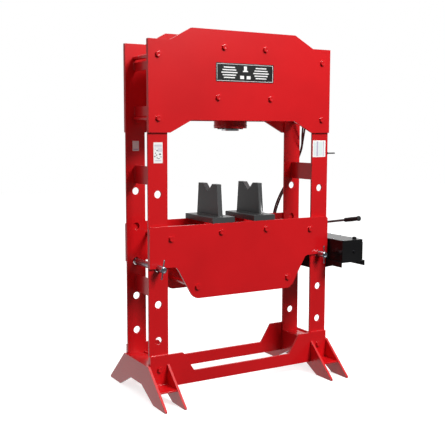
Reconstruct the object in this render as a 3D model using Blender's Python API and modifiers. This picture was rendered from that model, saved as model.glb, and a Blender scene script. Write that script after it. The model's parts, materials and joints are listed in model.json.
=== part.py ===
"""Hydraulic shop press, H-frame type: two pairs of flat uprights carry a plated head with a double-acting
cylinder, a plated bed that hangs on two pins, two V-blocks, and a hand pump on a bracket at the right.

Metres, +Z up. The floor is z = 0, the front is -Y, and y = 0 is halfway between the front and rear uprights.
Lengths along X are first worked out from the ram's axis. The whole press hangs from one empty that then
puts the middle of its overall width at x = 0.
"""

import math

import bmesh
import bpy
from mathutils import Matrix, Vector

TOUCH = 0.0003  # left between pieces that touch
WELD = 0.002  # how far welded pieces sink into each other

# Columns: four flat bars, each drilled with the same row of pin holes.
COLUMN_SPACING = 1.077
UPRIGHT_WIDTH = 0.116
UPRIGHT_THICKNESS = 0.012
UPRIGHT_BOTTOM = 0.067
UPRIGHT_TOP = 1.948
FRAME_DEPTH = 0.297  # over the outer faces of the front and rear uprights
HOLE_DIAMETER = 0.041
HOLE_PITCH = 0.200
HOLE_COUNT = 5
TOP_HOLE_HEIGHT = 1.130
BED_HOLE = 2  # index, from the top, of the holes that hold the pins
BRACE_THICKNESS = 0.008

# Head: two plates with raised middles.
PLATE_THICKNESS = 0.012
HEAD_END_HEIGHT = 0.489
HEAD_RISE = 0.070
HEAD_SLOPE_WIDTH = 0.128
HEAD_SLOPE_INSET = 0.012  # from the uprights' inner edges to the slopes

# Stepped tie rods, with a hexagon at each end.
TIE_SHOULDER_DIAMETER = 0.024
TIE_END_DIAMETER = 0.016
TIE_HEX_WIDTH = 0.028
TIE_HEX_HEIGHT = 0.011
TIE_CLEARANCE = 0.0005
HEAD_END_TIE_DROPS = (0.080, 0.413)  # below the uprights' tops
HEAD_TOP_TIE_OFFSET = 0.135
HEAD_TOP_TIE_DROP = 0.023
HEAD_LOW_TIE_OFFSET = 0.173
HEAD_LOW_TIE_DROP = 0.297

# Cylinder and ram, hung from the yoke between the head plates.
CYLINDER_DIAMETER = 0.192
CYLINDER_BORE = 0.156
CYLINDER_BELOW_HEAD = 0.042
CYLINDER_CAP = 0.030
GLAND_HEIGHT = 0.045
ROD_DIAMETER = 0.103
ROD_BELOW_CYLINDER = 0.015
PISTON_HEIGHT = 0.050
RUNNING_GAP = 0.0005
YOKE_THICKNESS = 0.040
YOKE_WIDTH = 0.400
GUIDE_THICKNESS = 0.015
GUIDE_WIDTH = 0.300
GUIDE_ABOVE_HEAD_EDGE = 0.012
PORT_RADIUS = 0.011
PORT_LENGTH = 0.020
TOP_PORT_DROP = 0.070  # below the cylinder's top
LOW_PORT_RISE = 0.105  # above the cylinder's lower end

# Bed: two plates outside the uprights, held apart by ties, resting on the pins.
BED_CLEARANCE = 0.0015
BED_OVER_PIN = 0.226
BED_HEIGHT = 0.413
BED_SLOPE_INSET = 0.046
BED_SLOPE_WIDTH = 0.106
BED_CORNER_CHAMFER = 0.012
BED_NECK_RADIUS = 0.030
BED_BELLY_RADIUS = 0.060
BED_OUTER_TIE_INSET = 0.0155
BED_OUTER_TIE_DROP = 0.069
BED_INNER_TIE_OFFSET = 0.150
BED_INNER_TIE_DROP = 0.050
BED_LOW_TIE_INSET = 0.177
BED_LOW_TIE_RISE = 0.066

# Pins and their cross bars.
PIN_DIAMETER = 0.036
PIN_FRONT_REACH = 0.056
PIN_REAR_REACH = 0.022
PIN_BAR_DIAMETER = 0.008
PIN_BAR_LENGTH = 0.108
PIN_BAR_INSET = 0.013
PIN_BAR_TILTS = {"left": math.radians(9), "right": math.radians(-2)}

# V-blocks.
V_OFFSET = 0.137
V_BASE_WIDTH = 0.146
V_BASE_HEIGHT = 0.031
V_PLATE_THICKNESS = 0.030
V_PLATE_HEIGHT = 0.182
V_PLATE_FOOT = 0.250
V_PLATE_HEAD = 0.212
V_NOTCH_WIDTH = 0.106
V_NOTCH_DEPTH = 0.048

# Base: two rails outside the uprights, and a foot under each column.
RAIL_END_TOP = 0.248
RAIL_MIDDLE_TOP = 0.137
RAIL_END_LENGTH = 0.202
RAIL_SLOPE_WIDTH = 0.069
RAIL_RADIUS = 0.018
FOOT_THICKNESS = 0.014
FOOT_HALF_LENGTH = 0.367
FOOT_HALF_TOP = 0.160
FOOT_TOP = 0.198
FOOT_TOE_HEIGHT = 0.010
FOOT_HALF_ARCH = 0.223
FOOT_HALF_ARCH_TOP = 0.073
FOOT_ARCH_HEIGHT = 0.077
SHELF_THICKNESS = 0.008
SHELF_HEIGHT = 0.084
SHELF_REACH = 0.120
BRIDGE_HEIGHT = 0.190

# Pump bracket, tank and hand pump.
BRACKET_THICKNESS = 0.006
BRACKET_BOTTOM = 0.613
BRACKET_BOTTOM_LENGTH = 0.196
BRACKET_SLOPE_LENGTH = 0.165
BRACKET_LIP_BOTTOM = 0.659
BRACKET_TOP = 0.800
TRAY_HEIGHT = 0.692
TRAY_WIDTH = 0.1815
TRAY_FRONT_OVERHANG = 0.004
TANK_WIDTH = 0.153
TANK_LENGTH = 0.400
TANK_HEIGHT = 0.114
TANK_WALL = 0.004
TANK_SIDE_GAP = 0.0055
TANK_FORWARD = 0.146  # ahead of the front uprights
LID_THICKNESS = 0.013
CAP_DIAMETER = 0.026
CAP_HEIGHT = 0.012
CAP_FROM_RIGHT = 0.026
CAP_FROM_FRONT = 0.046
BLOCK_WIDTH = 0.080
BLOCK_LENGTH = 0.090
BLOCK_HEIGHT = 0.044
BLOCK_FROM_REAR = 0.018
EAR_THICKNESS = 0.010
EAR_RADIUS = 0.014
YOKE_EYE_WIDTH = 0.030
YOKE_EYE_RADIUS = 0.012
PIVOT_DIAMETER = 0.010
PIVOT_FROM_BLOCK_REAR = 0.030
PIVOT_ABOVE_LID = 0.068
PLUNGER_DIAMETER = 0.016
PLUNGER_FROM_PIVOT = 0.030
PLUNGER_BELOW_PIVOT = 0.0100
PLUNGER_LENGTH = 0.042
PLUNGER_BORE_CLEARANCE = 0.0003
PLUNGER_BORE_DEPTH = 0.036
LEVER_TILT = math.radians(9.5)
LEVER_FROM_TANK = 0.070  # from the tank's left side to the lever's plane
SOCKET_LENGTH = 0.075
SOCKET_DIAMETER = 0.024
LEVER_DIAMETER = 0.014
LEVER_LENGTH = 0.290  # from the pivot to the grip's inner end
LEVER_IN_SOCKET = 0.045
LEVER_IN_GRIP = 0.100
GRIP_LENGTH = 0.130
GRIP_DIAMETER = 0.027
GRIP_FLANGE_DIAMETER = 0.031
KNOB_DIAMETER = 0.030
KNOB_LENGTH = 0.018
KNOB_STEM_DIAMETER = 0.010
KNOB_STEM_LENGTH = 0.012
KNOB_FROM_LEVER = 0.015  # to the left of the lever's plane
BLOCK_PORT_SPACING = 0.036
BLOCK_PORT_LENGTH = 0.012
BLOCK_PORT_RADIUS = 0.009

# Peg on the right front upright.
PEG_DIAMETER = 0.008
PEG_LENGTH = 0.060
PEG_HEIGHT = 1.337

# Hoses. Each starts at a port of the cylinder and ends at a port of the pump.
HOSE_DIAMETER = 0.011
HOSE_STEP = 3.0 * HOSE_DIAMETER
HOSE_LEAD = 0.035  # straight length at each port

ROUND_STEPS = 32
SMALL_STEPS = 16
HOLE_STEPS = 24
ARC_STEPS = 6

# Worked out from the sizes above.
HALF_SPACING = COLUMN_SPACING / 2
INNER_EDGE = HALF_SPACING - UPRIGHT_WIDTH / 2
OUTER_EDGE = HALF_SPACING + UPRIGHT_WIDTH / 2
HALF_DEPTH = FRAME_DEPTH / 2
HALF_OPEN = HALF_DEPTH - UPRIGHT_THICKNESS  # to the uprights' inner faces
HOLE_HEIGHTS = [TOP_HOLE_HEIGHT - HOLE_PITCH * index for index in range(HOLE_COUNT)]
PIN_HEIGHT = HOLE_HEIGHTS[BED_HOLE]
BED_TOP = PIN_HEIGHT + BED_OVER_PIN
BED_BOTTOM = BED_TOP - BED_HEIGHT
BED_HALF_OPEN = HALF_DEPTH + BED_CLEARANCE
HEAD_TOP = UPRIGHT_TOP + HEAD_RISE
HEAD_END_BOTTOM = UPRIGHT_TOP - HEAD_END_HEIGHT
HEAD_BOTTOM = HEAD_END_BOTTOM + HEAD_RISE - 0.003
SLOPE_OUTER = INNER_EDGE - HEAD_SLOPE_INSET
SLOPE_INNER = SLOPE_OUTER - HEAD_SLOPE_WIDTH
CYLINDER_BOTTOM = HEAD_BOTTOM - CYLINDER_BELOW_HEAD
YOKE_TOP = UPRIGHT_TOP - HEAD_TOP_TIE_DROP - TIE_SHOULDER_DIAMETER / 2 - 2 * TIE_CLEARANCE
YOKE_BOTTOM = YOKE_TOP - YOKE_THICKNESS
CYLINDER_TOP = YOKE_BOTTOM - TOUCH
PISTON_TOP = CYLINDER_TOP - CYLINDER_CAP - TOUCH
FOOT_OUTER_FACE = OUTER_EDGE + TOUCH + FOOT_THICKNESS
TRAY_RIGHT = OUTER_EDGE + TOUCH + TRAY_WIDTH
TANK_LEFT = OUTER_EDGE + TOUCH + BRACKET_THICKNESS + TANK_SIDE_GAP
TANK_RIGHT = TANK_LEFT + TANK_WIDTH
TANK_FRONT = -HALF_DEPTH - TANK_FORWARD
TANK_REAR = TANK_FRONT + TANK_LENGTH
TANK_BOTTOM = TRAY_HEIGHT + TOUCH
LID_BOTTOM = TANK_BOTTOM + TANK_HEIGHT + TOUCH
LID_TOP = LID_BOTTOM + LID_THICKNESS
PUMP_X = TANK_LEFT + LEVER_FROM_TANK
BLOCK_REAR = TANK_REAR - BLOCK_FROM_REAR
BLOCK_FRONT = BLOCK_REAR - BLOCK_LENGTH
BLOCK_BOTTOM = LID_TOP + TOUCH
BLOCK_TOP = BLOCK_BOTTOM + BLOCK_HEIGHT
PIVOT_Y = BLOCK_REAR - PIVOT_FROM_BLOCK_REAR
PIVOT_Z = LID_TOP + PIVOT_ABOVE_LID
PLUNGER_Y = PIVOT_Y - PLUNGER_FROM_PIVOT
PORT_FACE = CYLINDER_DIAMETER / 2 + PORT_LENGTH
PORT_HEIGHTS = (CYLINDER_BOTTOM + LOW_PORT_RISE, CYLINDER_TOP - TOP_PORT_DROP)
BLOCK_PORTS_X = (PUMP_X - BLOCK_PORT_SPACING / 2, PUMP_X + BLOCK_PORT_SPACING / 2)
BLOCK_PORT_FACE = BLOCK_REAR + BLOCK_PORT_LENGTH
BLOCK_PORT_HEIGHT = BLOCK_BOTTOM + BLOCK_HEIGHT / 2
AXIS_SHIFT = (FOOT_OUTER_FACE - TRAY_RIGHT) / 2

# Side braces, as (name, lowest height, height) from the top down, each in its column's middle plane. The
# pump's bracket takes the place of the lowest one on the right.
BRACES = (
    ("top", UPRIGHT_TOP - 0.150, 0.045),
    ("head", UPRIGHT_TOP - 0.399, 0.053),
    ("middle", TOP_HOLE_HEIGHT + 0.045, 0.101),
    ("low", PIN_HEIGHT - 0.173, 0.099),
)

PARTS = "shop_press"
HELPERS = "cutters"


def clear_scene():
    for obj in list(bpy.data.objects):
        bpy.data.objects.remove(obj)
    for name in (PARTS, HELPERS):
        collection = bpy.data.collections.new(name)
        bpy.context.scene.collection.children.link(collection)
    bpy.data.collections[HELPERS].hide_render = True


def material(name, color, roughness, metallic=0.0):
    made = bpy.data.materials.new(name)
    made.use_nodes = True
    shader = made.node_tree.nodes["Principled BSDF"]
    shader.inputs["Base Color"].default_value = (*color, 1.0)
    shader.inputs["Roughness"].default_value = roughness
    shader.inputs["Metallic"].default_value = metallic
    return made


def new_object(name, mesh, collection=HELPERS):
    obj = bpy.data.objects.new(name, mesh)
    bpy.data.collections[collection].objects.link(obj)
    if collection == HELPERS:
        obj.hide_render = True
        obj.display_type = "WIRE"
    return obj


def baked(obj):
    """The object's evaluated mesh in world space. The object and its own data are removed."""
    bpy.context.view_layer.update()
    evaluated = obj.evaluated_get(bpy.context.evaluated_depsgraph_get())
    mesh = bpy.data.meshes.new_from_object(evaluated)
    mesh.transform(obj.matrix_world)
    shape = bmesh.new()
    shape.from_mesh(mesh)
    bmesh.ops.remove_doubles(shape, verts=shape.verts, dist=1e-6)
    bmesh.ops.recalc_face_normals(shape, faces=shape.faces)
    shape.to_mesh(mesh)
    shape.free()
    bpy.data.objects.remove(obj)
    return mesh


def cylinder(radius, start, end, steps=SMALL_STEPS):
    """A cylinder from one point to another."""
    start = Vector(start)
    along = Vector(end) - start
    turn = along.to_track_quat("Z", "Y").to_matrix().to_4x4()
    place = Matrix.Translation(start + along / 2) @ turn
    shape = bmesh.new()
    bmesh.ops.create_cone(
        shape, cap_ends=True, segments=steps, radius1=radius, radius2=radius,
        depth=along.length, matrix=place,
    )
    mesh = bpy.data.meshes.new("cylinder")
    shape.to_mesh(mesh)
    shape.free()
    return mesh


def box(low, high):
    low = Vector(low)
    size = Vector(high) - low
    place = Matrix.Translation(low + size / 2) @ Matrix.Diagonal((*size, 1))
    shape = bmesh.new()
    bmesh.ops.create_cube(shape, size=1, matrix=place)
    mesh = bpy.data.meshes.new("box")
    shape.to_mesh(mesh)
    shape.free()
    return mesh


def turned(profile, steps=ROUND_STEPS):
    """A solid turned about Z from (radius, height) points that run down its outer side."""
    mesh = bpy.data.meshes.new("turned")
    edges = [(index, index + 1) for index in range(len(profile) - 1)]
    mesh.from_pydata([(radius, 0, height) for radius, height in profile], edges, [])
    obj = new_object("turned", mesh)
    screw = obj.modifiers.new("Screw", "SCREW")
    screw.steps = steps
    screw.render_steps = steps
    screw.use_merge_vertices = True
    screw.merge_threshold = 1e-6
    return baked(obj)


def circle(x, y, diameter, steps=HOLE_STEPS):
    angles = [math.tau * step / steps for step in range(steps)]
    return [(x + diameter / 2 * math.cos(angle), y + diameter / 2 * math.sin(angle)) for angle in angles]


def rounded(corners):
    """The outline of (x, y, radius) corners, each rounded by an arc of its radius."""
    outline = []
    for index, (x, y, radius) in enumerate(corners):
        corner = Vector((x, y))
        back = (Vector(corners[index - 1][:2]) - corner).normalized()
        ahead = (Vector(corners[(index + 1) % len(corners)][:2]) - corner).normalized()
        half = back.angle(ahead) / 2
        if radius == 0 or half > math.radians(89.5):
            outline.append((x, y))
            continue
        middle = corner + (back + ahead).normalized() * radius / math.sin(half)
        first = corner + back * radius / math.tan(half) - middle
        last = corner + ahead * radius / math.tan(half) - middle
        sweep = first.angle_signed(last)
        for step in range(ARC_STEPS + 1):
            spoke = Matrix.Rotation(-sweep * step / ARC_STEPS, 2) @ first
            outline.append(tuple(middle + spoke))
    return outline


def mirrored(half_outline):
    """A whole outline from its half at x > 0, given from the top down."""
    return half_outline + [(-corner[0], *corner[1:]) for corner in reversed(half_outline)]


def plate(outline, thickness, normal, holes=()):
    """A flat plate cut to an outline, centred on its own thickness.

    The outline's two numbers are x and z on a plate whose normal is Y, and y and z on one whose normal is X.
    """
    curve = bpy.data.curves.new("plate", "CURVE")
    curve.dimensions = "2D"
    curve.fill_mode = "BOTH"
    curve.extrude = thickness / 2
    for points in (outline, *holes):
        spline = curve.splines.new("POLY")
        spline.points.add(len(points) - 1)
        spline.use_cyclic_u = True
        for point, (x, y) in zip(spline.points, points):
            point.co = (x, y, 0, 1)
    obj = new_object("plate", curve)
    obj.rotation_euler = (math.pi / 2, 0, math.pi / 2 if normal == "X" else 0)
    return baked(obj)


def moved(mesh, offset):
    mesh.transform(Matrix.Translation(offset))
    return mesh


def joined(meshes, operation="UNION"):
    """The first mesh with the others welded on or, with DIFFERENCE, cut away."""
    first, *others = [new_object("piece", mesh) for mesh in meshes]
    for other in others:
        boolean = first.modifiers.new("Boolean", "BOOLEAN")
        boolean.operation = operation
        boolean.object = other
    mesh = baked(first)
    for other in others:
        bpy.data.objects.remove(other)
    return mesh


def cut(mesh, *tools):
    return joined([mesh, *tools], "DIFFERENCE")


def part(name, mesh, look, holder, at=(0, 0, 0)):
    """A finished piece. The mesh is in the press's own coordinates, and at is where its origin goes."""
    mesh.transform(Matrix.Translation(-Vector(at)))
    mesh.name = name
    mesh.materials.clear()
    mesh.materials.append(look)
    mesh.shade_smooth()
    mesh.set_sharp_from_angle(angle=math.radians(30))
    obj = new_object(name, mesh, PARTS)
    obj.parent = holder
    obj.location = Vector(at) - joint_place(holder)
    return obj


def joint_place(holder):
    """Where an empty stands in the press's own coordinates."""
    place = Vector((0, 0, 0))
    while holder.parent:
        place += holder.location
        holder = holder.parent
    return place


def empty(name, parent=None, at=(0, 0, 0)):
    obj = bpy.data.objects.new(name, None)
    bpy.data.collections[PARTS].objects.link(obj)
    obj.parent = parent
    obj.location = Vector(at) - (joint_place(parent) if parent else Vector((0, 0, 0)))
    return obj


def tie_rod(x, z, half_shoulder, half_grip):
    """A rod along Y: thick between the plates, thin through them, with a hexagon outside each."""
    hex_radius = TIE_HEX_WIDTH / math.sqrt(3)
    seat = half_grip + TOUCH
    end = seat + TIE_HEX_HEIGHT
    shoulder = half_shoulder - TOUCH
    return joined([
        cylinder(TIE_SHOULDER_DIAMETER / 2, (x, -shoulder, z), (x, shoulder, z)),
        cylinder(TIE_END_DIAMETER / 2, (x, -end + WELD, z), (x, end - WELD, z)),
        cylinder(hex_radius, (x, -end, z), (x, -seat, z), 6),
        cylinder(hex_radius, (x, seat, z), (x, end, z), 6),
    ])


def tie_hole(x, z):
    return circle(x, z, TIE_END_DIAMETER + 2 * TIE_CLEARANCE, SMALL_STEPS)


def head_ties():
    """(name, x, z, through an upright) of each tie in the head."""
    upper_z = UPRIGHT_TOP - HEAD_TOP_TIE_DROP
    lower_z = UPRIGHT_TOP - HEAD_LOW_TIE_DROP
    ties = []
    for side, sign in (("left", -1), ("right", 1)):
        for level, drop in zip(("upper", "lower"), HEAD_END_TIE_DROPS):
            ties.append((f"head_end_tie_{side}_{level}", sign * HALF_SPACING, UPRIGHT_TOP - drop, True))
        ties.append((f"head_tie_{side}_upper", sign * HEAD_TOP_TIE_OFFSET, upper_z, False))
        ties.append((f"head_tie_{side}_lower", sign * HEAD_LOW_TIE_OFFSET, lower_z, False))
    return ties


def bed_ties():
    """(name, x, z) of each tie in the bed."""
    outer_x = INNER_EDGE - BED_OUTER_TIE_INSET
    lower_x = INNER_EDGE - BED_LOW_TIE_INSET
    ties = []
    for side, sign in (("left", -1), ("right", 1)):
        ties.append((f"bed_tie_{side}_outer", sign * outer_x, BED_TOP - BED_OUTER_TIE_DROP))
        ties.append((f"bed_tie_{side}_inner", sign * BED_INNER_TIE_OFFSET, BED_TOP - BED_INNER_TIE_DROP))
        ties.append((f"bed_tie_{side}_lower", sign * lower_x, BED_BOTTOM + BED_LOW_TIE_RISE))
    return ties


def build_columns(frame, paint):
    width = UPRIGHT_WIDTH / 2
    middle = HALF_DEPTH - UPRIGHT_THICKNESS / 2
    outline = [(width, UPRIGHT_TOP), (width, UPRIGHT_BOTTOM), (-width, UPRIGHT_BOTTOM), (-width, UPRIGHT_TOP)]
    holes = [circle(0, height, HOLE_DIAMETER) for height in HOLE_HEIGHTS]
    holes += [tie_hole(0, UPRIGHT_TOP - drop) for drop in HEAD_END_TIE_DROPS]
    for side, sign in (("left", -1), ("right", 1)):
        for face, y in (("front", -middle), ("rear", middle)):
            bar = moved(plate(outline, UPRIGHT_THICKNESS, "Y", holes), (sign * HALF_SPACING, y, 0))
            part(f"upright_{face}_{side}", bar, paint, frame)
        x = sign * HALF_SPACING
        reach = HALF_OPEN - TOUCH
        for name, low, height in BRACES:
            if (side, name) == ("right", "low"):
                continue
            first = (x - BRACE_THICKNESS / 2, -reach, low)
            last = (x + BRACE_THICKNESS / 2, reach, low + height)
            part(f"brace_{side}_{name}", box(first, last), paint, frame)
    peg_y = -middle
    start = OUTER_EDGE + TOUCH
    peg = cylinder(PEG_DIAMETER / 2, (start, peg_y, PEG_HEIGHT), (start + PEG_LENGTH, peg_y, PEG_HEIGHT))
    part("lever_peg", peg, bpy.data.materials["dark_steel"], frame)


def build_head(frame, paint):
    outline = mirrored([
        (SLOPE_INNER, HEAD_TOP), (SLOPE_OUTER, UPRIGHT_TOP), (OUTER_EDGE, UPRIGHT_TOP),
        (OUTER_EDGE, HEAD_END_BOTTOM), (SLOPE_OUTER, HEAD_END_BOTTOM), (SLOPE_INNER, HEAD_BOTTOM),
    ])
    holes = [tie_hole(x, z) for _, x, z, _ in head_ties()]
    middle = HALF_DEPTH + TOUCH + PLATE_THICKNESS / 2
    for face, y in (("front", -middle), ("rear", middle)):
        side = plate(outline, PLATE_THICKNESS, "Y", holes)
        part(f"head_plate_{face}", moved(side, (0, y, 0)), paint, frame)
    for name, x, z, through in head_ties():
        rod = tie_rod(x, z, HALF_OPEN if through else HALF_DEPTH, HALF_DEPTH + TOUCH + PLATE_THICKNESS)
        part(name, rod, paint, frame)
    yoke = box((-YOKE_WIDTH / 2, -HALF_DEPTH, YOKE_BOTTOM), (YOKE_WIDTH / 2, HALF_DEPTH, YOKE_TOP))
    part("head_yoke", yoke, paint, frame)
    guide_low = HEAD_BOTTOM + GUIDE_ABOVE_HEAD_EDGE
    guide_high = guide_low + GUIDE_THICKNESS
    opening = CYLINDER_DIAMETER / 2 + TOUCH
    guide = cut(
        box((-GUIDE_WIDTH / 2, -HALF_DEPTH, guide_low), (GUIDE_WIDTH / 2, HALF_DEPTH, guide_high)),
        cylinder(opening, (0, 0, guide_low - WELD), (0, 0, guide_high + WELD), ROUND_STEPS),
    )
    part("cylinder_guide", guide, paint, frame)


def build_cylinder(frame, press, paint):
    outer = CYLINDER_DIAMETER / 2
    bore = CYLINDER_BORE / 2
    ceiling = CYLINDER_TOP - CYLINDER_CAP
    barrel = turned([
        (0, CYLINDER_TOP), (outer, CYLINDER_TOP), (outer, CYLINDER_BOTTOM),
        (bore, CYLINDER_BOTTOM), (bore, ceiling), (0, ceiling),
    ])
    ports = [
        cylinder(PORT_RADIUS, (outer - 2 * WELD, 0, height), (outer + PORT_LENGTH, 0, height))
        for height in PORT_HEIGHTS
    ]
    part("cylinder_barrel", joined([barrel, *ports]), paint, frame)
    rod = ROD_DIAMETER / 2
    gland_top = CYLINDER_BOTTOM + GLAND_HEIGHT
    gland_outer = bore - TOUCH
    gland_inner = rod + RUNNING_GAP
    gland = turned([
        (gland_inner, gland_top), (gland_outer, gland_top), (gland_outer, CYLINDER_BOTTOM),
        (gland_inner, CYLINDER_BOTTOM), (gland_inner, gland_top),
    ])
    part("cylinder_gland", gland, bpy.data.materials["machined_steel"], frame)
    ram = empty("ram", press, (0, 0, CYLINDER_BOTTOM - ROD_BELOW_CYLINDER))
    tip = CYLINDER_BOTTOM - ROD_BELOW_CYLINDER
    shoulder = PISTON_TOP - PISTON_HEIGHT
    chamfer = ROD_BELOW_CYLINDER / 5
    solid = turned([
        (0, PISTON_TOP), (bore - RUNNING_GAP, PISTON_TOP), (bore - RUNNING_GAP, shoulder), (rod, shoulder),
        (rod, tip + chamfer), (rod - chamfer, tip), (0, tip),
    ])
    part("ram_rod", solid, bpy.data.materials["chrome"], ram, (0, 0, tip))


def build_bed(press, paint):
    bed = empty("bed", press, (0, 0, PIN_HEIGHT))
    slope_outer = INNER_EDGE - BED_SLOPE_INSET
    notch_radius = PIN_DIAMETER / 2 + TOUCH
    notch = []
    for step in range(HOLE_STEPS // 2 + 1):
        angle = math.pi * step / (HOLE_STEPS // 2)
        x = HALF_SPACING + notch_radius * math.cos(angle)
        notch.append((x, PIN_HEIGHT + notch_radius * math.sin(angle)))
    half = rounded([
        (0, BED_TOP, 0), (OUTER_EDGE - BED_CORNER_CHAMFER, BED_TOP, 0),
        (OUTER_EDGE, BED_TOP - BED_CORNER_CHAMFER, 0), (OUTER_EDGE, PIN_HEIGHT, 0),
        (slope_outer, PIN_HEIGHT, BED_NECK_RADIUS),
        (slope_outer - BED_SLOPE_WIDTH, BED_BOTTOM, BED_BELLY_RADIUS), (0, BED_BOTTOM, 0),
    ])
    half = half[1:4] + notch + half[4:-1]
    holes = [tie_hole(x, z) for _, x, z in bed_ties()]
    middle = BED_HALF_OPEN + PLATE_THICKNESS / 2
    for face, y in (("front", -middle), ("rear", middle)):
        side = plate(mirrored(half), PLATE_THICKNESS, "Y", holes)
        part(f"bed_plate_{face}", moved(side, (0, y, 0)), paint, bed, (0, y, PIN_HEIGHT))
    for name, x, z in bed_ties():
        part(name, tie_rod(x, z, BED_HALF_OPEN, BED_HALF_OPEN + PLATE_THICKNESS), paint, bed, (x, 0, z))
    return bed


def build_v_blocks(bed, cast):
    low = BED_TOP + TOUCH
    top = low + V_BASE_HEIGHT
    reach = BED_HALF_OPEN + PLATE_THICKNESS
    outline = mirrored([
        (V_NOTCH_WIDTH / 2, top + V_PLATE_HEIGHT), (V_PLATE_HEAD / 2, top + V_PLATE_HEIGHT),
        (V_PLATE_FOOT / 2, top - WELD),
    ])
    outline.append((0, top + V_PLATE_HEIGHT - V_NOTCH_DEPTH))
    for side, x in (("left", -V_OFFSET), ("right", V_OFFSET)):
        holder = empty(f"v_block_{side}", bed, (x, 0, BED_TOP))
        base = box((x - V_BASE_WIDTH / 2, -reach, low), (x + V_BASE_WIDTH / 2, reach, top))
        upright = moved(plate(outline, V_PLATE_THICKNESS, "X"), (x, 0, 0))
        part(f"v_block_{side}_body", joined([base, upright]), cast, holder, (x, 0, low))


def build_pins(press, zinc):
    front = -BED_HALF_OPEN - PLATE_THICKNESS - PIN_FRONT_REACH
    rear = BED_HALF_OPEN + PLATE_THICKNESS + PIN_REAR_REACH
    bar_y = front + PIN_BAR_INSET
    for side, sign in (("left", -1), ("right", 1)):
        x = sign * HALF_SPACING
        holder = empty(f"pin_{side}", press, (x, front, PIN_HEIGHT))
        tilt = PIN_BAR_TILTS[side]
        reach = Vector((math.sin(tilt), 0, math.cos(tilt))) * PIN_BAR_LENGTH / 2
        middle = Vector((x, bar_y, PIN_HEIGHT))
        pin = cut(
            cylinder(PIN_DIAMETER / 2, (x, front, PIN_HEIGHT), (x, rear, PIN_HEIGHT), HOLE_STEPS),
            cylinder(PIN_BAR_DIAMETER / 2 + TOUCH, middle - reach, middle + reach, SMALL_STEPS),
        )
        part(f"support_pin_{side}", pin, zinc, holder, (x, front, PIN_HEIGHT))
        bar = cylinder(PIN_BAR_DIAMETER / 2, middle - reach, middle + reach, SMALL_STEPS)
        part(f"pin_bar_{side}", bar, zinc, holder, middle)


def build_base(frame, paint):
    slope_top = OUTER_EDGE - RAIL_END_LENGTH
    outline = mirrored(rounded([
        (0, RAIL_MIDDLE_TOP, 0), (slope_top - RAIL_SLOPE_WIDTH, RAIL_MIDDLE_TOP, RAIL_RADIUS),
        (slope_top, RAIL_END_TOP, RAIL_RADIUS / 3), (OUTER_EDGE, RAIL_END_TOP, 0),
        (OUTER_EDGE, UPRIGHT_BOTTOM, 0), (0, UPRIGHT_BOTTOM, 0),
    ])[1:-1])
    middle = HALF_DEPTH + TOUCH + PLATE_THICKNESS / 2
    for face, y in (("front", -middle), ("rear", middle)):
        part(f"base_rail_{face}", moved(plate(outline, PLATE_THICKNESS, "Y"), (0, y, 0)), paint, frame)


def foot_plate():
    """The A-shaped side of a foot, centred on x = 0."""
    return plate(mirrored([
        (FOOT_HALF_TOP, FOOT_TOP), (FOOT_HALF_LENGTH, FOOT_TOE_HEIGHT), (FOOT_HALF_LENGTH, 0),
        (FOOT_HALF_ARCH, 0), (FOOT_HALF_ARCH_TOP, FOOT_ARCH_HEIGHT),
    ]), FOOT_THICKNESS, "X")


def build_feet(frame, paint):
    rail_face = HALF_DEPTH + TOUCH + PLATE_THICKNESS
    inner_x = INNER_EDGE + TOUCH + FOOT_THICKNESS / 2
    inner_side = INNER_EDGE + FOOT_THICKNESS
    for side, sign in (("left", -1), ("right", 1)):
        outer = moved(foot_plate(), (sign * (FOOT_OUTER_FACE - FOOT_THICKNESS / 2), 0, 0))
        part(f"foot_outer_{side}", outer, paint, frame)
        slots = []
        pieces = [moved(foot_plate(), (sign * inner_x, 0, 0))]
        for facing in (-1, 1):
            near, far = sorted((facing * (HALF_OPEN - TOUCH), facing * (rail_face + TOUCH)))
            slots.append(box(
                (sign * inner_x - FOOT_THICKNESS, near, UPRIGHT_BOTTOM - TOUCH),
                (sign * inner_x + FOOT_THICKNESS, far, FOOT_TOP + WELD),
            ))
            shelf_x = sorted((sign * (inner_side - WELD), sign * (OUTER_EDGE - TOUCH)))
            shelf_y = sorted((facing * (rail_face + TOUCH), facing * (rail_face + SHELF_REACH)))
            low = SHELF_HEIGHT - SHELF_THICKNESS
            pieces.append(box((shelf_x[0], shelf_y[0], low), (shelf_x[1], shelf_y[1], SHELF_HEIGHT)))
        bridge_reach = HALF_OPEN - TOUCH
        pieces.append(box(
            (shelf_x[0], -bridge_reach, BRIDGE_HEIGHT - SHELF_THICKNESS),
            (shelf_x[1], bridge_reach, BRIDGE_HEIGHT),
        ))
        plate_with_slots = cut(pieces[0], *slots)
        part(f"foot_carrier_{side}", joined([plate_with_slots, *pieces[1:]]), paint, frame)


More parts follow.
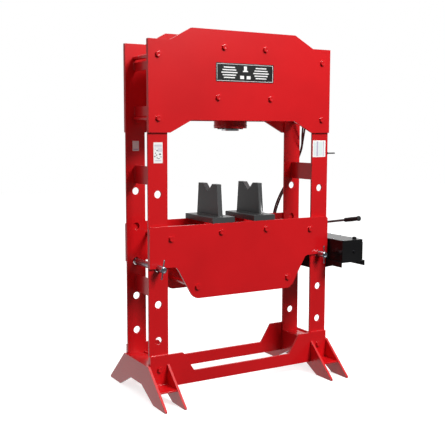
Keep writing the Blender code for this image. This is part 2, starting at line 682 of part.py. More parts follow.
def build_bracket(frame, black):
    left = OUTER_EDGE + TOUCH
    front = TANK_FRONT - TRAY_FRONT_OVERHANG
    flat_end = HALF_DEPTH - BRACKET_BOTTOM_LENGTH
    tray_low = TRAY_HEIGHT - BRACKET_THICKNESS
    side = plate([
        (HALF_DEPTH, BRACKET_TOP), (HALF_DEPTH, BRACKET_BOTTOM), (flat_end, BRACKET_BOTTOM),
        (flat_end - BRACKET_SLOPE_LENGTH, BRACKET_LIP_BOTTOM), (front, BRACKET_LIP_BOTTOM),
        (front, TRAY_HEIGHT), (flat_end - BRACKET_SLOPE_LENGTH / 2, TRAY_HEIGHT),
        (-HALF_DEPTH, BRACKET_TOP),
    ], BRACKET_THICKNESS, "X")
    tray = box((left + BRACKET_THICKNESS - WELD, front, tray_low), (TRAY_RIGHT, TANK_REAR, TRAY_HEIGHT))
    lip = box(
        (TRAY_RIGHT - BRACKET_THICKNESS, front, BRACKET_LIP_BOTTOM),
        (TRAY_RIGHT, TANK_REAR, TRAY_HEIGHT - WELD),
    )
    pieces = [moved(side, (left + BRACKET_THICKNESS / 2, 0, 0)), tray, lip]
    part("pump_bracket", joined(pieces), black, frame)


def build_tank(frame, black):
    inner_low = (TANK_LEFT + TANK_WALL, TANK_FRONT + TANK_WALL, TANK_BOTTOM + TANK_WALL)
    inner_high = (TANK_RIGHT - TANK_WALL, TANK_REAR - TANK_WALL, LID_BOTTOM + WELD)
    shell = cut(
        box((TANK_LEFT, TANK_FRONT, TANK_BOTTOM), (TANK_RIGHT, TANK_REAR, LID_BOTTOM - TOUCH)),
        box(inner_low, inner_high),
    )
    part("pump_tank", shell, black, frame)
    part("tank_lid", box((TANK_LEFT, TANK_FRONT, LID_BOTTOM), (TANK_RIGHT, TANK_REAR, LID_TOP)), black, frame)
    cap_x = TANK_RIGHT - CAP_FROM_RIGHT
    cap_y = TANK_FRONT + CAP_FROM_FRONT
    cap_low = LID_TOP + TOUCH
    cap = cylinder(CAP_DIAMETER / 2, (cap_x, cap_y, cap_low), (cap_x, cap_y, cap_low + CAP_HEIGHT))
    part("filler_cap", cap, black, frame)


def build_pump(frame, press):
    iron = bpy.data.materials["cast_iron"]
    steel = bpy.data.materials["machined_steel"]
    half = BLOCK_WIDTH / 2
    pieces = [box((PUMP_X - half, BLOCK_FRONT, BLOCK_BOTTOM), (PUMP_X + half, BLOCK_REAR, BLOCK_TOP))]
    ear_inner = YOKE_EYE_WIDTH / 2 + RUNNING_GAP
    ear = rounded([
        (PIVOT_Y - EAR_RADIUS, BLOCK_TOP - WELD, 0), (PIVOT_Y + EAR_RADIUS, BLOCK_TOP - WELD, 0),
        (PIVOT_Y + EAR_RADIUS, PIVOT_Z + EAR_RADIUS, 0.95 * EAR_RADIUS),
        (PIVOT_Y - EAR_RADIUS, PIVOT_Z + EAR_RADIUS, 0.95 * EAR_RADIUS),
    ])
    for sign in (-1, 1):
        ear_x = PUMP_X + sign * (ear_inner + EAR_THICKNESS / 2)
        pieces.append(moved(plate(ear, EAR_THICKNESS, "X"), (ear_x, 0, 0)))
    for x in BLOCK_PORTS_X:
        start = (x, BLOCK_REAR - WELD, BLOCK_PORT_HEIGHT)
        pieces.append(cylinder(BLOCK_PORT_RADIUS, start, (x, BLOCK_PORT_FACE, BLOCK_PORT_HEIGHT)))
    ear_outer = ear_inner + EAR_THICKNESS
    pivot_start = (PUMP_X - ear_outer - WELD, PIVOT_Y, PIVOT_Z)
    pivot_end = (PUMP_X + ear_outer + WELD, PIVOT_Y, PIVOT_Z)
    pivot_hole = cylinder(PIVOT_DIAMETER / 2 + RUNNING_GAP, pivot_start, pivot_end)
    bore = cylinder(
        PLUNGER_DIAMETER / 2 + PLUNGER_BORE_CLEARANCE, (PUMP_X, PLUNGER_Y, BLOCK_TOP - PLUNGER_BORE_DEPTH),
        (PUMP_X, PLUNGER_Y, BLOCK_TOP + WELD),
    )
    part("pump_block", cut(joined(pieces), pivot_hole, bore), iron, frame)
    part("lever_pivot_pin", cylinder(PIVOT_DIAMETER / 2, pivot_start, pivot_end), steel, frame)

    plunger = empty("plunger", press, (PUMP_X, PLUNGER_Y, PIVOT_Z - PLUNGER_BELOW_PIVOT))
    plunger_top = PIVOT_Z - PLUNGER_BELOW_PIVOT
    radius = PLUNGER_DIAMETER / 2
    piston = turned([
        (0, 0), (radius - PLUNGER_BORE_CLEARANCE, -3 * PLUNGER_BORE_CLEARANCE), (radius, -WELD),
        (radius, -PLUNGER_LENGTH), (0, -PLUNGER_LENGTH),
    ], SMALL_STEPS)
    place = (PUMP_X, PLUNGER_Y, plunger_top)
    part("pump_plunger", moved(piston, place), steel, plunger, place)

    pivot = Vector((PUMP_X, PIVOT_Y, PIVOT_Z))
    lever = empty("lever", press, pivot)
    ahead = Vector((0, -math.cos(LEVER_TILT), math.sin(LEVER_TILT)))
    eye_half = Vector((YOKE_EYE_WIDTH / 2, 0, 0))
    socket = joined([
        cylinder(YOKE_EYE_RADIUS, pivot - eye_half, pivot + eye_half, HOLE_STEPS),
        cylinder(SOCKET_DIAMETER / 2, pivot, pivot + ahead * SOCKET_LENGTH, HOLE_STEPS),
    ])
    rod_start = SOCKET_LENGTH - LEVER_IN_SOCKET
    socket = cut(
        socket,
        cylinder(PIVOT_DIAMETER / 2 + RUNNING_GAP, pivot - 2 * eye_half, pivot + 2 * eye_half),
        cylinder(
            LEVER_DIAMETER / 2 + TOUCH, pivot + ahead * (rod_start - TOUCH),
            pivot + ahead * (SOCKET_LENGTH + WELD),
        ),
    )
    part("lever_socket", socket, iron, lever, pivot)
    rod_end = LEVER_LENGTH + LEVER_IN_GRIP
    rod = cylinder(LEVER_DIAMETER / 2, pivot + ahead * rod_start, pivot + ahead * rod_end)
    part("lever_rod", rod, steel, lever, pivot)
    grip_end = LEVER_LENGTH + GRIP_LENGTH
    flange_start = grip_end - 5 * WELD
    grip = joined([
        cylinder(GRIP_DIAMETER / 2, pivot + ahead * LEVER_LENGTH, pivot + ahead * grip_end, HOLE_STEPS),
        cylinder(
            GRIP_FLANGE_DIAMETER / 2, pivot + ahead * flange_start, pivot + ahead * grip_end, HOLE_STEPS,
        ),
    ])
    grip = cut(grip, cylinder(
        LEVER_DIAMETER / 2 + TOUCH, pivot + ahead * (LEVER_LENGTH - WELD), pivot + ahead * (rod_end + TOUCH),
    ))
    part("lever_grip", grip, bpy.data.materials["black_rubber"], lever, pivot)

    knob_x = PUMP_X - KNOB_FROM_LEVER
    start = Vector((knob_x, BLOCK_FRONT - TOUCH, BLOCK_BOTTOM + BLOCK_HEIGHT / 2))
    stem_end = start - Vector((0, KNOB_STEM_LENGTH, 0))
    holder = empty("release_knob", press, start)
    knob = joined([
        cylinder(KNOB_STEM_DIAMETER / 2, start, stem_end - Vector((0, WELD, 0))),
        cylinder(KNOB_DIAMETER / 2, stem_end, stem_end - Vector((0, KNOB_LENGTH, 0))),
    ])
    part("release_valve_knob", knob, bpy.data.materials["black_rubber"], holder, start)


def smooth_route(route, step):
    """Points every step along a Catmull-Rom curve through the route, which keeps both its ends."""
    points = [Vector(point) for point in route]
    padded = [2 * points[0] - points[1], *points, 2 * points[-1] - points[-2]]
    fine = []
    for before, start, end, after in zip(padded, padded[1:], padded[2:], padded[3:]):
        for index in range(16):
            t = index / 16
            fine.append(0.5 * (
                2 * start + (end - before) * t + (2 * before - 5 * start + 4 * end - after) * t ** 2
                + (3 * start - before - 3 * end + after) * t ** 3
            ))
    fine.append(points[-1])
    total = sum((b - a).length for a, b in zip(fine, fine[1:]))
    spacing = total / round(total / step)
    picked = [fine[0]]
    run = 0.0
    for a, b in zip(fine, fine[1:]):
        run += (b - a).length
        if run >= spacing * len(picked) and len(picked) * spacing < total - spacing / 2:
            picked.append(b)
    return [*picked, fine[-1]]


def hose_routes():
    """(name, points) of each hose: along the head, out past the right rear upright, down behind the bed."""
    behind = BED_HALF_OPEN + PLATE_THICKNESS + 0.040
    low_port, top_port = PORT_HEIGHTS
    left_port, right_port = BLOCK_PORTS_X
    end = HEAD_END_BOTTOM
    port_end = BLOCK_PORT_FACE + TOUCH
    first = [
        (PORT_FACE + TOUCH, 0, low_port), (PORT_FACE + HOSE_LEAD, 0, low_port),
        (0.50 * INNER_EDGE, 0.002, low_port + 0.006), (0.72 * INNER_EDGE, 0.006, low_port + 0.028),
        (0.90 * INNER_EDGE, 0.012, low_port + 0.052), (INNER_EDGE + 0.008, 0.018, low_port + 0.063),
        (HALF_SPACING - 0.006, 0.026, low_port + 0.058), (OUTER_EDGE - 0.028, 0.036, low_port + 0.027),
        (OUTER_EDGE - 0.019, 0.047, low_port - 0.029), (OUTER_EDGE - 0.016, 0.063, end + 0.029),
        (OUTER_EDGE - 0.006, 0.094, end - 0.045),
        (OUTER_EDGE + 0.011, 0.134, end - 0.108), (OUTER_EDGE + 0.010, 0.172, end - 0.176),
        (OUTER_EDGE - 0.008, behind - 0.010, BED_TOP + 0.252),
        (OUTER_EDGE - 0.050, behind, BED_TOP + 0.189),
        (INNER_EDGE + 0.010, behind + 0.001, BED_TOP + 0.104),
        (INNER_EDGE - 0.030, behind, BED_TOP + 0.009),
        (INNER_EDGE - 0.045, behind, PIN_HEIGHT + 0.130),
        (INNER_EDGE - 0.032, behind, PIN_HEIGHT + 0.030),
        (INNER_EDGE + 0.010, behind + 0.003, PIN_HEIGHT - 0.050),
        (OUTER_EDGE - 0.040, behind + 0.006, PIN_HEIGHT - 0.090),
        (OUTER_EDGE + 0.026, behind + 0.006, PIN_HEIGHT - 0.068),
        (left_port - 0.008, behind + 0.004, PIN_HEIGHT + 0.002),
        (left_port - 0.001, behind - 0.002, PIN_HEIGHT + 0.056),
        (left_port, behind - 0.017, BLOCK_PORT_HEIGHT - 0.016),
        (left_port, behind - 0.052, BLOCK_PORT_HEIGHT - 0.001),
        (left_port, BLOCK_PORT_FACE + HOSE_LEAD / 2, BLOCK_PORT_HEIGHT),
        (left_port, port_end, BLOCK_PORT_HEIGHT),
    ]
    second = [
        (PORT_FACE + TOUCH, 0, top_port), (PORT_FACE + HOSE_LEAD, 0, top_port),
        (0.48 * INNER_EDGE, 0.006, top_port - 0.012), (0.68 * INNER_EDGE, 0.018, top_port - 0.058),
        (0.86 * INNER_EDGE, 0.034, top_port - 0.106), (INNER_EDGE + 0.014, 0.052, low_port + 0.080),
        (HALF_SPACING + 0.008, 0.060, low_port + 0.050), (OUTER_EDGE - 0.024, 0.068, low_port + 0.004),
        (OUTER_EDGE - 0.016, 0.081, end + 0.064), (OUTER_EDGE - 0.001, 0.110, end - 0.012),
        (OUTER_EDGE + 0.021, 0.145, end - 0.085), (OUTER_EDGE + 0.024, 0.181, end - 0.154),
        (OUTER_EDGE + 0.010, behind + 0.002, BED_TOP + 0.270),
        (OUTER_EDGE - 0.024, behind + 0.016, BED_TOP + 0.189),
        (INNER_EDGE + 0.037, behind + 0.017, BED_TOP + 0.104),
        (INNER_EDGE - 0.004, behind + 0.017, BED_TOP + 0.009),
        (INNER_EDGE - 0.020, behind + 0.018, PIN_HEIGHT + 0.140),
        (INNER_EDGE - 0.008, behind + 0.020, PIN_HEIGHT + 0.060),
        (INNER_EDGE + 0.040, behind + 0.024, PIN_HEIGHT - 0.008),
        (OUTER_EDGE - 0.006, behind + 0.027, PIN_HEIGHT - 0.036),
        (OUTER_EDGE + 0.060, behind + 0.026, PIN_HEIGHT - 0.014),
        (right_port - 0.007, behind + 0.020, PIN_HEIGHT + 0.050),
        (right_port, behind + 0.001, BLOCK_PORT_HEIGHT - 0.0165),
        (right_port, behind - 0.038, BLOCK_PORT_HEIGHT - 0.0005),
        (right_port, BLOCK_PORT_FACE + HOSE_LEAD / 2, BLOCK_PORT_HEIGHT),
        (right_port, port_end, BLOCK_PORT_HEIGHT),
    ]
    return ("hose_retract", first), ("hose_advance", second)


def build_hoses(frame, rubber):
    for name, route in hose_routes():
        curve = bpy.data.curves.new(name, "CURVE")
        curve.dimensions = "3D"
        curve.bevel_depth = HOSE_DIAMETER / 2
        curve.bevel_resolution = 2
        curve.use_fill_caps = True
        points = smooth_route(route, HOSE_STEP)
        spline = curve.splines.new("POLY")
        spline.points.add(len(points) - 1)
        for point, place in zip(spline.points, points):
            point.co = (*place, 1)
        curve.materials.append(rubber)
        obj = bpy.data.objects.new(name, curve)
        bpy.data.collections[PARTS].objects.link(obj)
        obj.parent = frame


def main():
    clear_scene()
    paint = material("red_enamel", (0.62, 0.020, 0.022), 0.25)
    black = material("black_enamel", (0.018, 0.018, 0.019), 0.35)
    cast = material("grey_cast_steel", (0.10, 0.10, 0.105), 0.55)
    zinc = material("zinc_plate", (0.62, 0.66, 0.70), 0.30, 1.0)
    material("cast_iron", (0.05, 0.05, 0.052), 0.6)
    material("machined_steel", (0.55, 0.55, 0.56), 0.35, 1.0)
    material("dark_steel", (0.10, 0.10, 0.11), 0.45, 1.0)
    material("chrome", (0.80, 0.80, 0.82), 0.12, 1.0)
    material("black_rubber", (0.02, 0.02, 0.021), 0.6)
    rubber = material("hose_rubber", (0.055, 0.012, 0.014), 0.5)

    press = empty("press")
    press.location = (AXIS_SHIFT, 0, 0)
    frame = empty("frame", press)
    build_columns(frame, paint)
    build_head(frame, paint)
    build_cylinder(frame, press, paint)
    bed = build_bed(press, paint)
    build_v_blocks(bed, cast)
    build_pins(press, zinc)
    build_base(frame, paint)
    build_feet(frame, paint)
    build_bracket(frame, black)
    build_tank(frame, black)
    build_pump(frame, press)
    build_hoses(frame, rubber)


main()
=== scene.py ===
"""The finished look of a hydraulic shop press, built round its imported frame: enamelled plates with eased
edges, turned and hexagonal fasteners, weld beads, hoses with their fittings, the hand pump's fittings, and
a badge and labels.

Metres, +Z up, the front is -Y, and the pump is at +X. The ram's axis stands at x = RAM_X.
"""

import json
import math

import bmesh
import bpy
import numpy as np
from mathutils import Matrix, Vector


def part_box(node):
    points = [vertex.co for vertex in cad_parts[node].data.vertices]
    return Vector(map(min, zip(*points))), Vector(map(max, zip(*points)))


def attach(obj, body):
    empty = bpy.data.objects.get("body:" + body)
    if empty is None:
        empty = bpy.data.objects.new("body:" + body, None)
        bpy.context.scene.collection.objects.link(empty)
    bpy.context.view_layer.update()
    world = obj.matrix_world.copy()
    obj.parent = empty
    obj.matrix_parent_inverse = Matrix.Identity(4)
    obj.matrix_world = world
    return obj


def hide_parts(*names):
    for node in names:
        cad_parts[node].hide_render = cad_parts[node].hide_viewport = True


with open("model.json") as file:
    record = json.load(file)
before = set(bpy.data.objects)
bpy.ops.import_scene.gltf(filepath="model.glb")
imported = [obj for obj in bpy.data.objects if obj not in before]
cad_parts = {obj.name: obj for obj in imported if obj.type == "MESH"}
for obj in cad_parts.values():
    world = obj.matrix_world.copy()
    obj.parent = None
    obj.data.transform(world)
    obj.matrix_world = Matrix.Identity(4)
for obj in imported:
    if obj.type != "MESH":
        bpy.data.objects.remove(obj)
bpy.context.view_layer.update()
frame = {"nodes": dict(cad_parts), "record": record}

NODES = frame["nodes"]
RECORD = frame["record"]
SLOT_OF = {entry["node"]: entry["material_slot"] for entry in RECORD["subparts"]}
SIDES = (("left", -1), ("right", 1))
EAST = (1, 0, 0)
NORTH = (0, 1, 0)
SOUTH = (0, -1, 0)
UP = (0, 0, 1)
DOWN = (0, 0, -1)


def corners(node):
    """The node's lowest and highest corner as arrays."""
    low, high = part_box(node)
    return np.array(low, float), np.array(high, float)


def middle(node):
    low, high = corners(node)
    return (low + high) / 2


RAM_X = float(middle("ram_rod")[0])
HALF_SPACING = 0.5385  # from the ram's axis to the columns' rows of pin holes

# ---------------------------------------------------------------- camera and lights


def look_at(obj, place, target):
    """Puts obj at place with its -Z axis towards target."""
    place = np.array(place, float)
    ahead = np.array(target, float) - place
    ahead /= np.linalg.norm(ahead)
    side = np.cross(ahead, (0.0, 0.0, 1.0))
    side /= np.linalg.norm(side)
    up = np.cross(side, ahead)
    turn = np.eye(4)
    turn[:3, 0], turn[:3, 1], turn[:3, 2], turn[:3, 3] = side, up, -ahead, place
    obj.matrix_world = Matrix(turn.tolist())


def add_camera():
    """The camera stands left of the press, a little above its middle, and looks down by a few degrees."""
    data = bpy.data.cameras.new("camera")
    data.lens = 64.05
    data.sensor_width = 36.0
    data.shift_x = -0.0018
    data.shift_y = -0.0137
    camera = bpy.data.objects.new("camera", data)
    bpy.context.scene.collection.objects.link(camera)
    heading = Matrix.Rotation(math.radians(-30.55), 4, "Z")
    tilt = Matrix.Rotation(math.radians(90.0 - 6.16), 4, "X")
    roll = Matrix.Rotation(math.radians(0.17), 4, "Z")
    place = Matrix.Translation((RAM_X - 2.3815, -3.9585, 1.469))
    camera.matrix_world = place @ heading @ tilt @ roll
    bpy.context.scene.camera = camera


def add_light(name, place, target, size, power):
    """A square area light."""
    data = bpy.data.lights.new(name, "AREA")
    data.shape = "SQUARE"
    data.size = size
    data.energy = power
    light = bpy.data.objects.new(name, data)
    bpy.context.scene.collection.objects.link(light)
    look_at(light, place, target)


# ---------------------------------------------------------------- materials


def linear(hex_color):
    """(r, g, b, 1) in linear light from an sRGB hex value."""
    values = np.array([int(hex_color[i:i + 2], 16) for i in (1, 3, 5)]) / 255
    values = np.where(values <= 0.04045, values / 12.92, ((values + 0.055) / 1.055) ** 2.4)
    return (*map(float, values), 1.0)


def add(tree, kind, inputs, **settings):
    """A node with its settings, and its inputs set to values or linked to other nodes' outputs."""
    made = tree.nodes.new(kind)
    for key, value in settings.items():
        setattr(made, key, value)
    for key, value in inputs.items():
        if isinstance(value, bpy.types.NodeSocket):
            tree.links.new(value, made.inputs[key])
        else:
            made.inputs[key].default_value = value
    return made


def new_material(name):
    """(material, its tree, its Principled shader, the object coordinates)"""
    made = bpy.data.materials.new(name)
    made.use_nodes = True
    tree = made.node_tree
    shader = tree.nodes["Principled BSDF"]
    place = add(tree, "ShaderNodeTexCoord", {}).outputs["Object"]
    return made, tree, shader, place


def edge_mask(tree, radius):
    """0 on flats, rising to 1 where the surface turns within radius: how far a rounded normal leans from the
    surface's own."""
    soft = add(tree, "ShaderNodeBevel", {"Radius": radius}, samples=6).outputs["Normal"]
    own = add(tree, "ShaderNodeNewGeometry", {}).outputs["Normal"]
    agree = add(tree, "ShaderNodeVectorMath", {0: soft, 1: own}, operation="DOT_PRODUCT").outputs["Value"]
    return add(tree, "ShaderNodeMapRange", {
        "Value": agree, "From Min": 0.98, "From Max": 0.85, "To Min": 0.0, "To Max": 1.0,
    }).outputs["Result"]


def enamel(name, color, shade, worn, roughness, peel_mm, wear, coat=0.20, ior=1.5):
    """Sprayed alkyd enamel on steel plate: smooth and glossy with a fine orange peel, a little thinner and
    rubbed dull along the edges, and a slight drift of tone from one pass of the gun to the next. The coat is
    the clear resin that rises to its surface."""
    made, tree, shader, place = new_material(name)
    drift = add(tree, "ShaderNodeTexNoise", {"Vector": place, "Scale": 3.0, "Detail": 2.0}).outputs["Fac"]
    peel = add(tree, "ShaderNodeTexNoise", {
        "Vector": place, "Scale": 1000.0 / peel_mm, "Detail": 1.0, "Roughness": 0.4,
    }).outputs["Fac"]
    scuffs = add(tree, "ShaderNodeTexNoise", {
        "Vector": place, "Scale": 90.0, "Detail": 5.0, "Roughness": 0.7,
    }).outputs["Fac"]
    tone = add(tree, "ShaderNodeMapRange", {"Value": drift, "From Min": 0.35, "From Max": 0.65})
    base = add(tree, "ShaderNodeMix", {
        "Factor": tone.outputs["Result"], "A": linear(shade), "B": linear(color),
    }, data_type="RGBA")
    rubbed = add(tree, "ShaderNodeMath", {0: edge_mask(tree, 0.0025), 1: scuffs}, operation="MULTIPLY")
    rubbed = add(tree, "ShaderNodeMapRange", {
        "Value": rubbed.outputs["Value"], "From Min": 0.30, "From Max": 0.75, "To Min": 0.0, "To Max": wear,
    })
    base = add(tree, "ShaderNodeMix", {
        "Factor": rubbed.outputs["Result"], "A": base.outputs["Result"], "B": linear(worn),
    }, data_type="RGBA")
    tree.links.new(base.outputs["Result"], shader.inputs["Base Color"])
    gloss = add(tree, "ShaderNodeMapRange", {
        "Value": scuffs, "From Min": 0.3, "From Max": 0.75, "To Min": roughness, "To Max": roughness + 0.02,
    }).outputs["Result"]
    tree.links.new(gloss, shader.inputs["Roughness"])
    relief = add(tree, "ShaderNodeBump", {"Height": peel, "Strength": 0.25, "Distance": 0.00005})
    tree.links.new(relief.outputs["Normal"], shader.inputs["Normal"])
    shader.inputs["IOR"].default_value = ior
    shader.inputs["Coat Weight"].default_value = coat
    shader.inputs["Coat Roughness"].default_value = 0.08
    return made


def metal(name, color, dark, roughness, grain_mm, stretch, grain_depth_mm):
    """Bare or plated steel: fully metallic, with tool marks drawn out along the axis on which stretch is
    small, and a faint mottling where it was handled."""
    made, tree, shader, place = new_material(name)
    shader.inputs["Metallic"].default_value = 1.0
    drawn = add(tree, "ShaderNodeMapping", {"Vector": place, "Scale": stretch}).outputs["Vector"]
    grain = add(tree, "ShaderNodeTexNoise", {
        "Vector": drawn, "Scale": 1000.0 / grain_mm, "Detail": 3.0, "Roughness": 0.6,
    }).outputs["Fac"]
    mottle = add(tree, "ShaderNodeTexNoise", {"Vector": place, "Scale": 60.0, "Detail": 4.0}).outputs["Fac"]
    tone = add(tree, "ShaderNodeMapRange", {"Value": mottle, "From Min": 0.35, "From Max": 0.7})
    base = add(tree, "ShaderNodeMix", {
        "Factor": tone.outputs["Result"], "A": linear(dark), "B": linear(color),
    }, data_type="RGBA")
    tree.links.new(base.outputs["Result"], shader.inputs["Base Color"])
    gloss = add(tree, "ShaderNodeMapRange", {
        "Value": grain, "From Min": 0.3, "From Max": 0.7,
        "To Min": roughness * 0.75, "To Max": roughness * 1.3,
    }).outputs["Result"]
    tree.links.new(gloss, shader.inputs["Roughness"])
    relief = add(tree, "ShaderNodeBump", {
        "Height": grain, "Strength": 0.4, "Distance": grain_depth_mm / 1000.0,
    })
    tree.links.new(relief.outputs["Normal"], shader.inputs["Normal"])
    return made


def moulded(name, color, dusty, roughness, pebble_mm, depth_mm):
    """Moulded rubber or plastic: a fine pebbled skin with a trace of dust in its tone."""
    made, tree, shader, place = new_material(name)
    pebbles = add(tree, "ShaderNodeTexVoronoi", {"Vector": place, "Scale": 1000.0 / pebble_mm})
    dust = add(tree, "ShaderNodeTexNoise", {"Vector": place, "Scale": 45.0, "Detail": 5.0}).outputs["Fac"]
    dust = add(tree, "ShaderNodeMapRange", {
        "Value": dust, "From Min": 0.45, "From Max": 0.8,
    }).outputs["Result"]
    base = add(tree, "ShaderNodeMix", {
        "Factor": dust, "A": linear(color), "B": linear(dusty),
    }, data_type="RGBA")
    tree.links.new(base.outputs["Result"], shader.inputs["Base Color"])
    gloss = add(tree, "ShaderNodeMapRange", {
        "Value": dust, "To Min": roughness, "To Max": min(1.0, roughness + 0.2),
    }).outputs["Result"]
    tree.links.new(gloss, shader.inputs["Roughness"])
    relief = add(tree, "ShaderNodeBump", {
        "Height": pebbles.outputs["Distance"], "Strength": 0.5, "Distance": depth_mm / 1000.0,
    })
    tree.links.new(relief.outputs["Normal"], shader.inputs["Normal"])
    shader.inputs["Specular IOR Level"].default_value = 0.3
    return made


def printed_vinyl(name, color, roughness):
    """Screen-printed vinyl film: flat colour under a clear face with a very slight ripple."""
    made, tree, shader, place = new_material(name)
    ripple = add(tree, "ShaderNodeTexNoise", {"Vector": place, "Scale": 120.0, "Detail": 2.0}).outputs["Fac"]
    gloss = add(tree, "ShaderNodeMapRange", {
        "Value": ripple, "To Min": roughness, "To Max": roughness + 0.15,
    }).outputs["Result"]
    tree.links.new(gloss, shader.inputs["Roughness"])
    relief = add(tree, "ShaderNodeBump", {"Height": ripple, "Strength": 0.1, "Distance": 0.0001})
    tree.links.new(relief.outputs["Normal"], shader.inputs["Normal"])
    shader.inputs["Base Color"].default_value = linear(color)
    return made


MATERIALS = {
    "red_enamel": enamel("red_enamel", "#D2141A", "#C91218", "#8E2A2A", 0.24, 1.6, 0.55),
    "black_enamel": enamel("black_enamel", "#1C1C1D", "#161617", "#3A3A3B", 0.20, 1.6, 0.50, 0.0, 1.3),
    "grey_enamel": enamel("grey_enamel", "#404142", "#3A3B3C", "#626261", 0.42, 2.0, 0.60),
    "zinc_plate": metal("zinc_plate", "#C9D0D8", "#AAB3BE", 0.26, 0.8, (1.0, 0.08, 1.0), 0.02),
    "cast_iron": moulded("cast_iron", "#2B2B2C", "#3C3B3A", 0.50, 0.9, 0.12),
    "machined_steel": metal("machined_steel", "#B9BABC", "#9A9B9E", 0.30, 0.4, (0.05, 1.0, 1.0), 0.015),
    "drawn_bar": metal("drawn_bar", "#77787C", "#66676A", 0.45, 0.4, (1.0, 0.05, 1.0), 0.010),
    "dark_steel": metal("dark_steel", "#3B3B3E", "#2C2C2E", 0.40, 0.5, (0.1, 1.0, 1.0), 0.015),
    "chrome": metal("chrome", "#E2E3E6", "#D5D6DA", 0.09, 0.3, (1.0, 1.0, 0.05), 0.003),
    "black_rubber": moulded("black_rubber", "#1A1A1B", "#2B2B2B", 0.55, 0.7, 0.08),
    "hose_rubber": moulded("hose_rubber", "#431A1D", "#4F2A2B", 0.45, 0.8, 0.05),
    "badge_black": printed_vinyl("badge_black", "#101011", 0.25),
    "label_white": printed_vinyl("label_white", "#F4F4F2", 0.35),
    "label_ink": printed_vinyl("label_ink", "#3A393D", 0.40),
    "label_mint": printed_vinyl("label_mint", "#DCE9E7", 0.40),
    "label_lilac": printed_vinyl("label_lilac", "#BEB9CB", 0.40),
}

# ---------------------------------------------------------------- mesh makers

SAME_POINT = 1e-6
BEAD_STEP = 0.0012  # between a weld bead's rings
BEAD_RIPPLE = 0.003  # from one ripple of a weld bead to the next
CORNER_STEPS = 7  # points on each round corner of a slab


def piece(name, mesh, finish, body, nodes=()):
    """A finished piece at the origin that rides on a body and, with nodes, stands for those CAD nodes."""
    mesh.materials.clear()
    mesh.materials.append(MATERIALS[finish])
    obj = bpy.data.objects.new(name, mesh)
    bpy.context.scene.collection.objects.link(obj)
    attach(obj, body)
    if nodes:
        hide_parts(*nodes)
    return obj


def quads_between(index):
    """Quads that join each row of point numbers to the next, closed round the row."""
    right = np.roll(index, -1, axis=1)
    return np.stack([index[:-1], right[:-1], right[1:], index[1:]], axis=-1).reshape(-1, 4).tolist()


def closed_mesh(name, points, faces, sharp, join=False):
    """A smooth mesh with outward normals and with edges sharp above an angle. With join, points in the same
    place become one."""
    mesh = bpy.data.meshes.new(name)
    mesh.from_pydata(points.tolist(), [], faces)
    shape = bmesh.new()
    shape.from_mesh(mesh)
    if join:
        bmesh.ops.remove_doubles(shape, verts=shape.verts, dist=SAME_POINT)
    bmesh.ops.recalc_face_normals(shape, faces=shape.faces)
    shape.to_mesh(mesh)
    shape.free()
    mesh.shade_smooth()
    mesh.set_sharp_from_angle(angle=math.radians(sharp))
    return mesh


def skin(name, stacks, sharp=35.0):
    """A mesh from stacks of rings. A stack is an array (rings, points, 3): quads join each ring to the next,
    and a flat face closes each end."""
    points, faces, base = [], [], 0
    for rings in stacks:
        count, around = rings.shape[:2]
        index = base + np.arange(count * around).reshape(count, around)
        faces += quads_between(index) + [index[0, ::-1].tolist(), index[-1].tolist()]
        points.append(rings.reshape(-1, 3))
        base += count * around
    return closed_mesh(name, np.concatenate(points), faces, sharp)


def hoop(name, rings, sharp):
    """A mesh like a washer from an array (rings, points, 3), whose last ring is joined to the first."""
    rings = np.concatenate([rings, rings[:1]])
    index = np.arange(rings.shape[0] * rings.shape[1]).reshape(rings.shape[:2])
    return closed_mesh(name, rings.reshape(-1, 3), quads_between(index), sharp, join=True)


def sides_of(axis):
    """Two unit vectors square to axis and to each other, and axis at unit length."""
    axis = np.array(axis, float)
    axis /= np.linalg.norm(axis)
    helper = np.array((0.0, 0.0, 1.0)) if abs(axis[2]) < 0.9 else np.array((0.0, 1.0, 0.0))
    across = np.cross(helper, axis)
    across /= np.linalg.norm(across)
    return across, np.cross(axis, across), axis


def turned(start, axis, profile, steps=32, outline=None):
    """Rings of a solid turned about an axis: the point at (angle, k) is start + axis * height[k] +
    (across cos + up sin) * radius[k]. With outline, a function of angle, the radius is the smaller of the
    two."""
    across, up, axis = sides_of(axis)
    radius, height = np.array(profile, float).T
    angle = np.arange(steps) * math.tau / steps
    spread = np.repeat(radius[:, None], steps, axis=1)
    if outline is not None:
        spread = np.minimum(spread, outline(angle)[None, :])
    spokes = np.cos(angle)[:, None] * across + np.sin(angle)[:, None] * up
    return np.array(start, float) + height[:, None, None] * axis + spread[:, :, None] * spokes


def hexagon(flats):
    """A hexagon's radius at each angle: half the width over flats, over the cosine of the angle from the
    flat's middle."""
    return lambda angle: flats / 2 / np.cos((angle + math.pi / 6) % (math.pi / 3) - math.pi / 6)


def fluted(radius, depth, count):
    """A knob's radius at each angle: a circle with count shallow cosine flutes."""
    return lambda angle: radius - depth * (0.5 - 0.5 * np.cos(count * angle)) ** 2


def along(path, radius, around=10):
    """Rings square to a path: each ring's sides are the last ring's, turned as little as the path allows."""
    path = np.array(path, float)
    ahead = np.gradient(path, axis=0)
    ahead /= np.linalg.norm(ahead, axis=1, keepdims=True)
    across = np.empty_like(path)
    across[0] = sides_of(ahead[0])[0]
    for k in range(1, len(path)):
        flat = across[k - 1] - ahead[k] * across[k - 1].dot(ahead[k])
        across[k] = flat / np.linalg.norm(flat)
    up = np.cross(ahead, across)
    angle = np.arange(around) * math.tau / around
    radius = np.broadcast_to(np.array(radius, float), len(path))
    spokes = np.cos(angle)[None, :, None] * across[:, None] + np.sin(angle)[None, :, None] * up[:, None]
    return path[:, None] + radius[:, None, None] * spokes


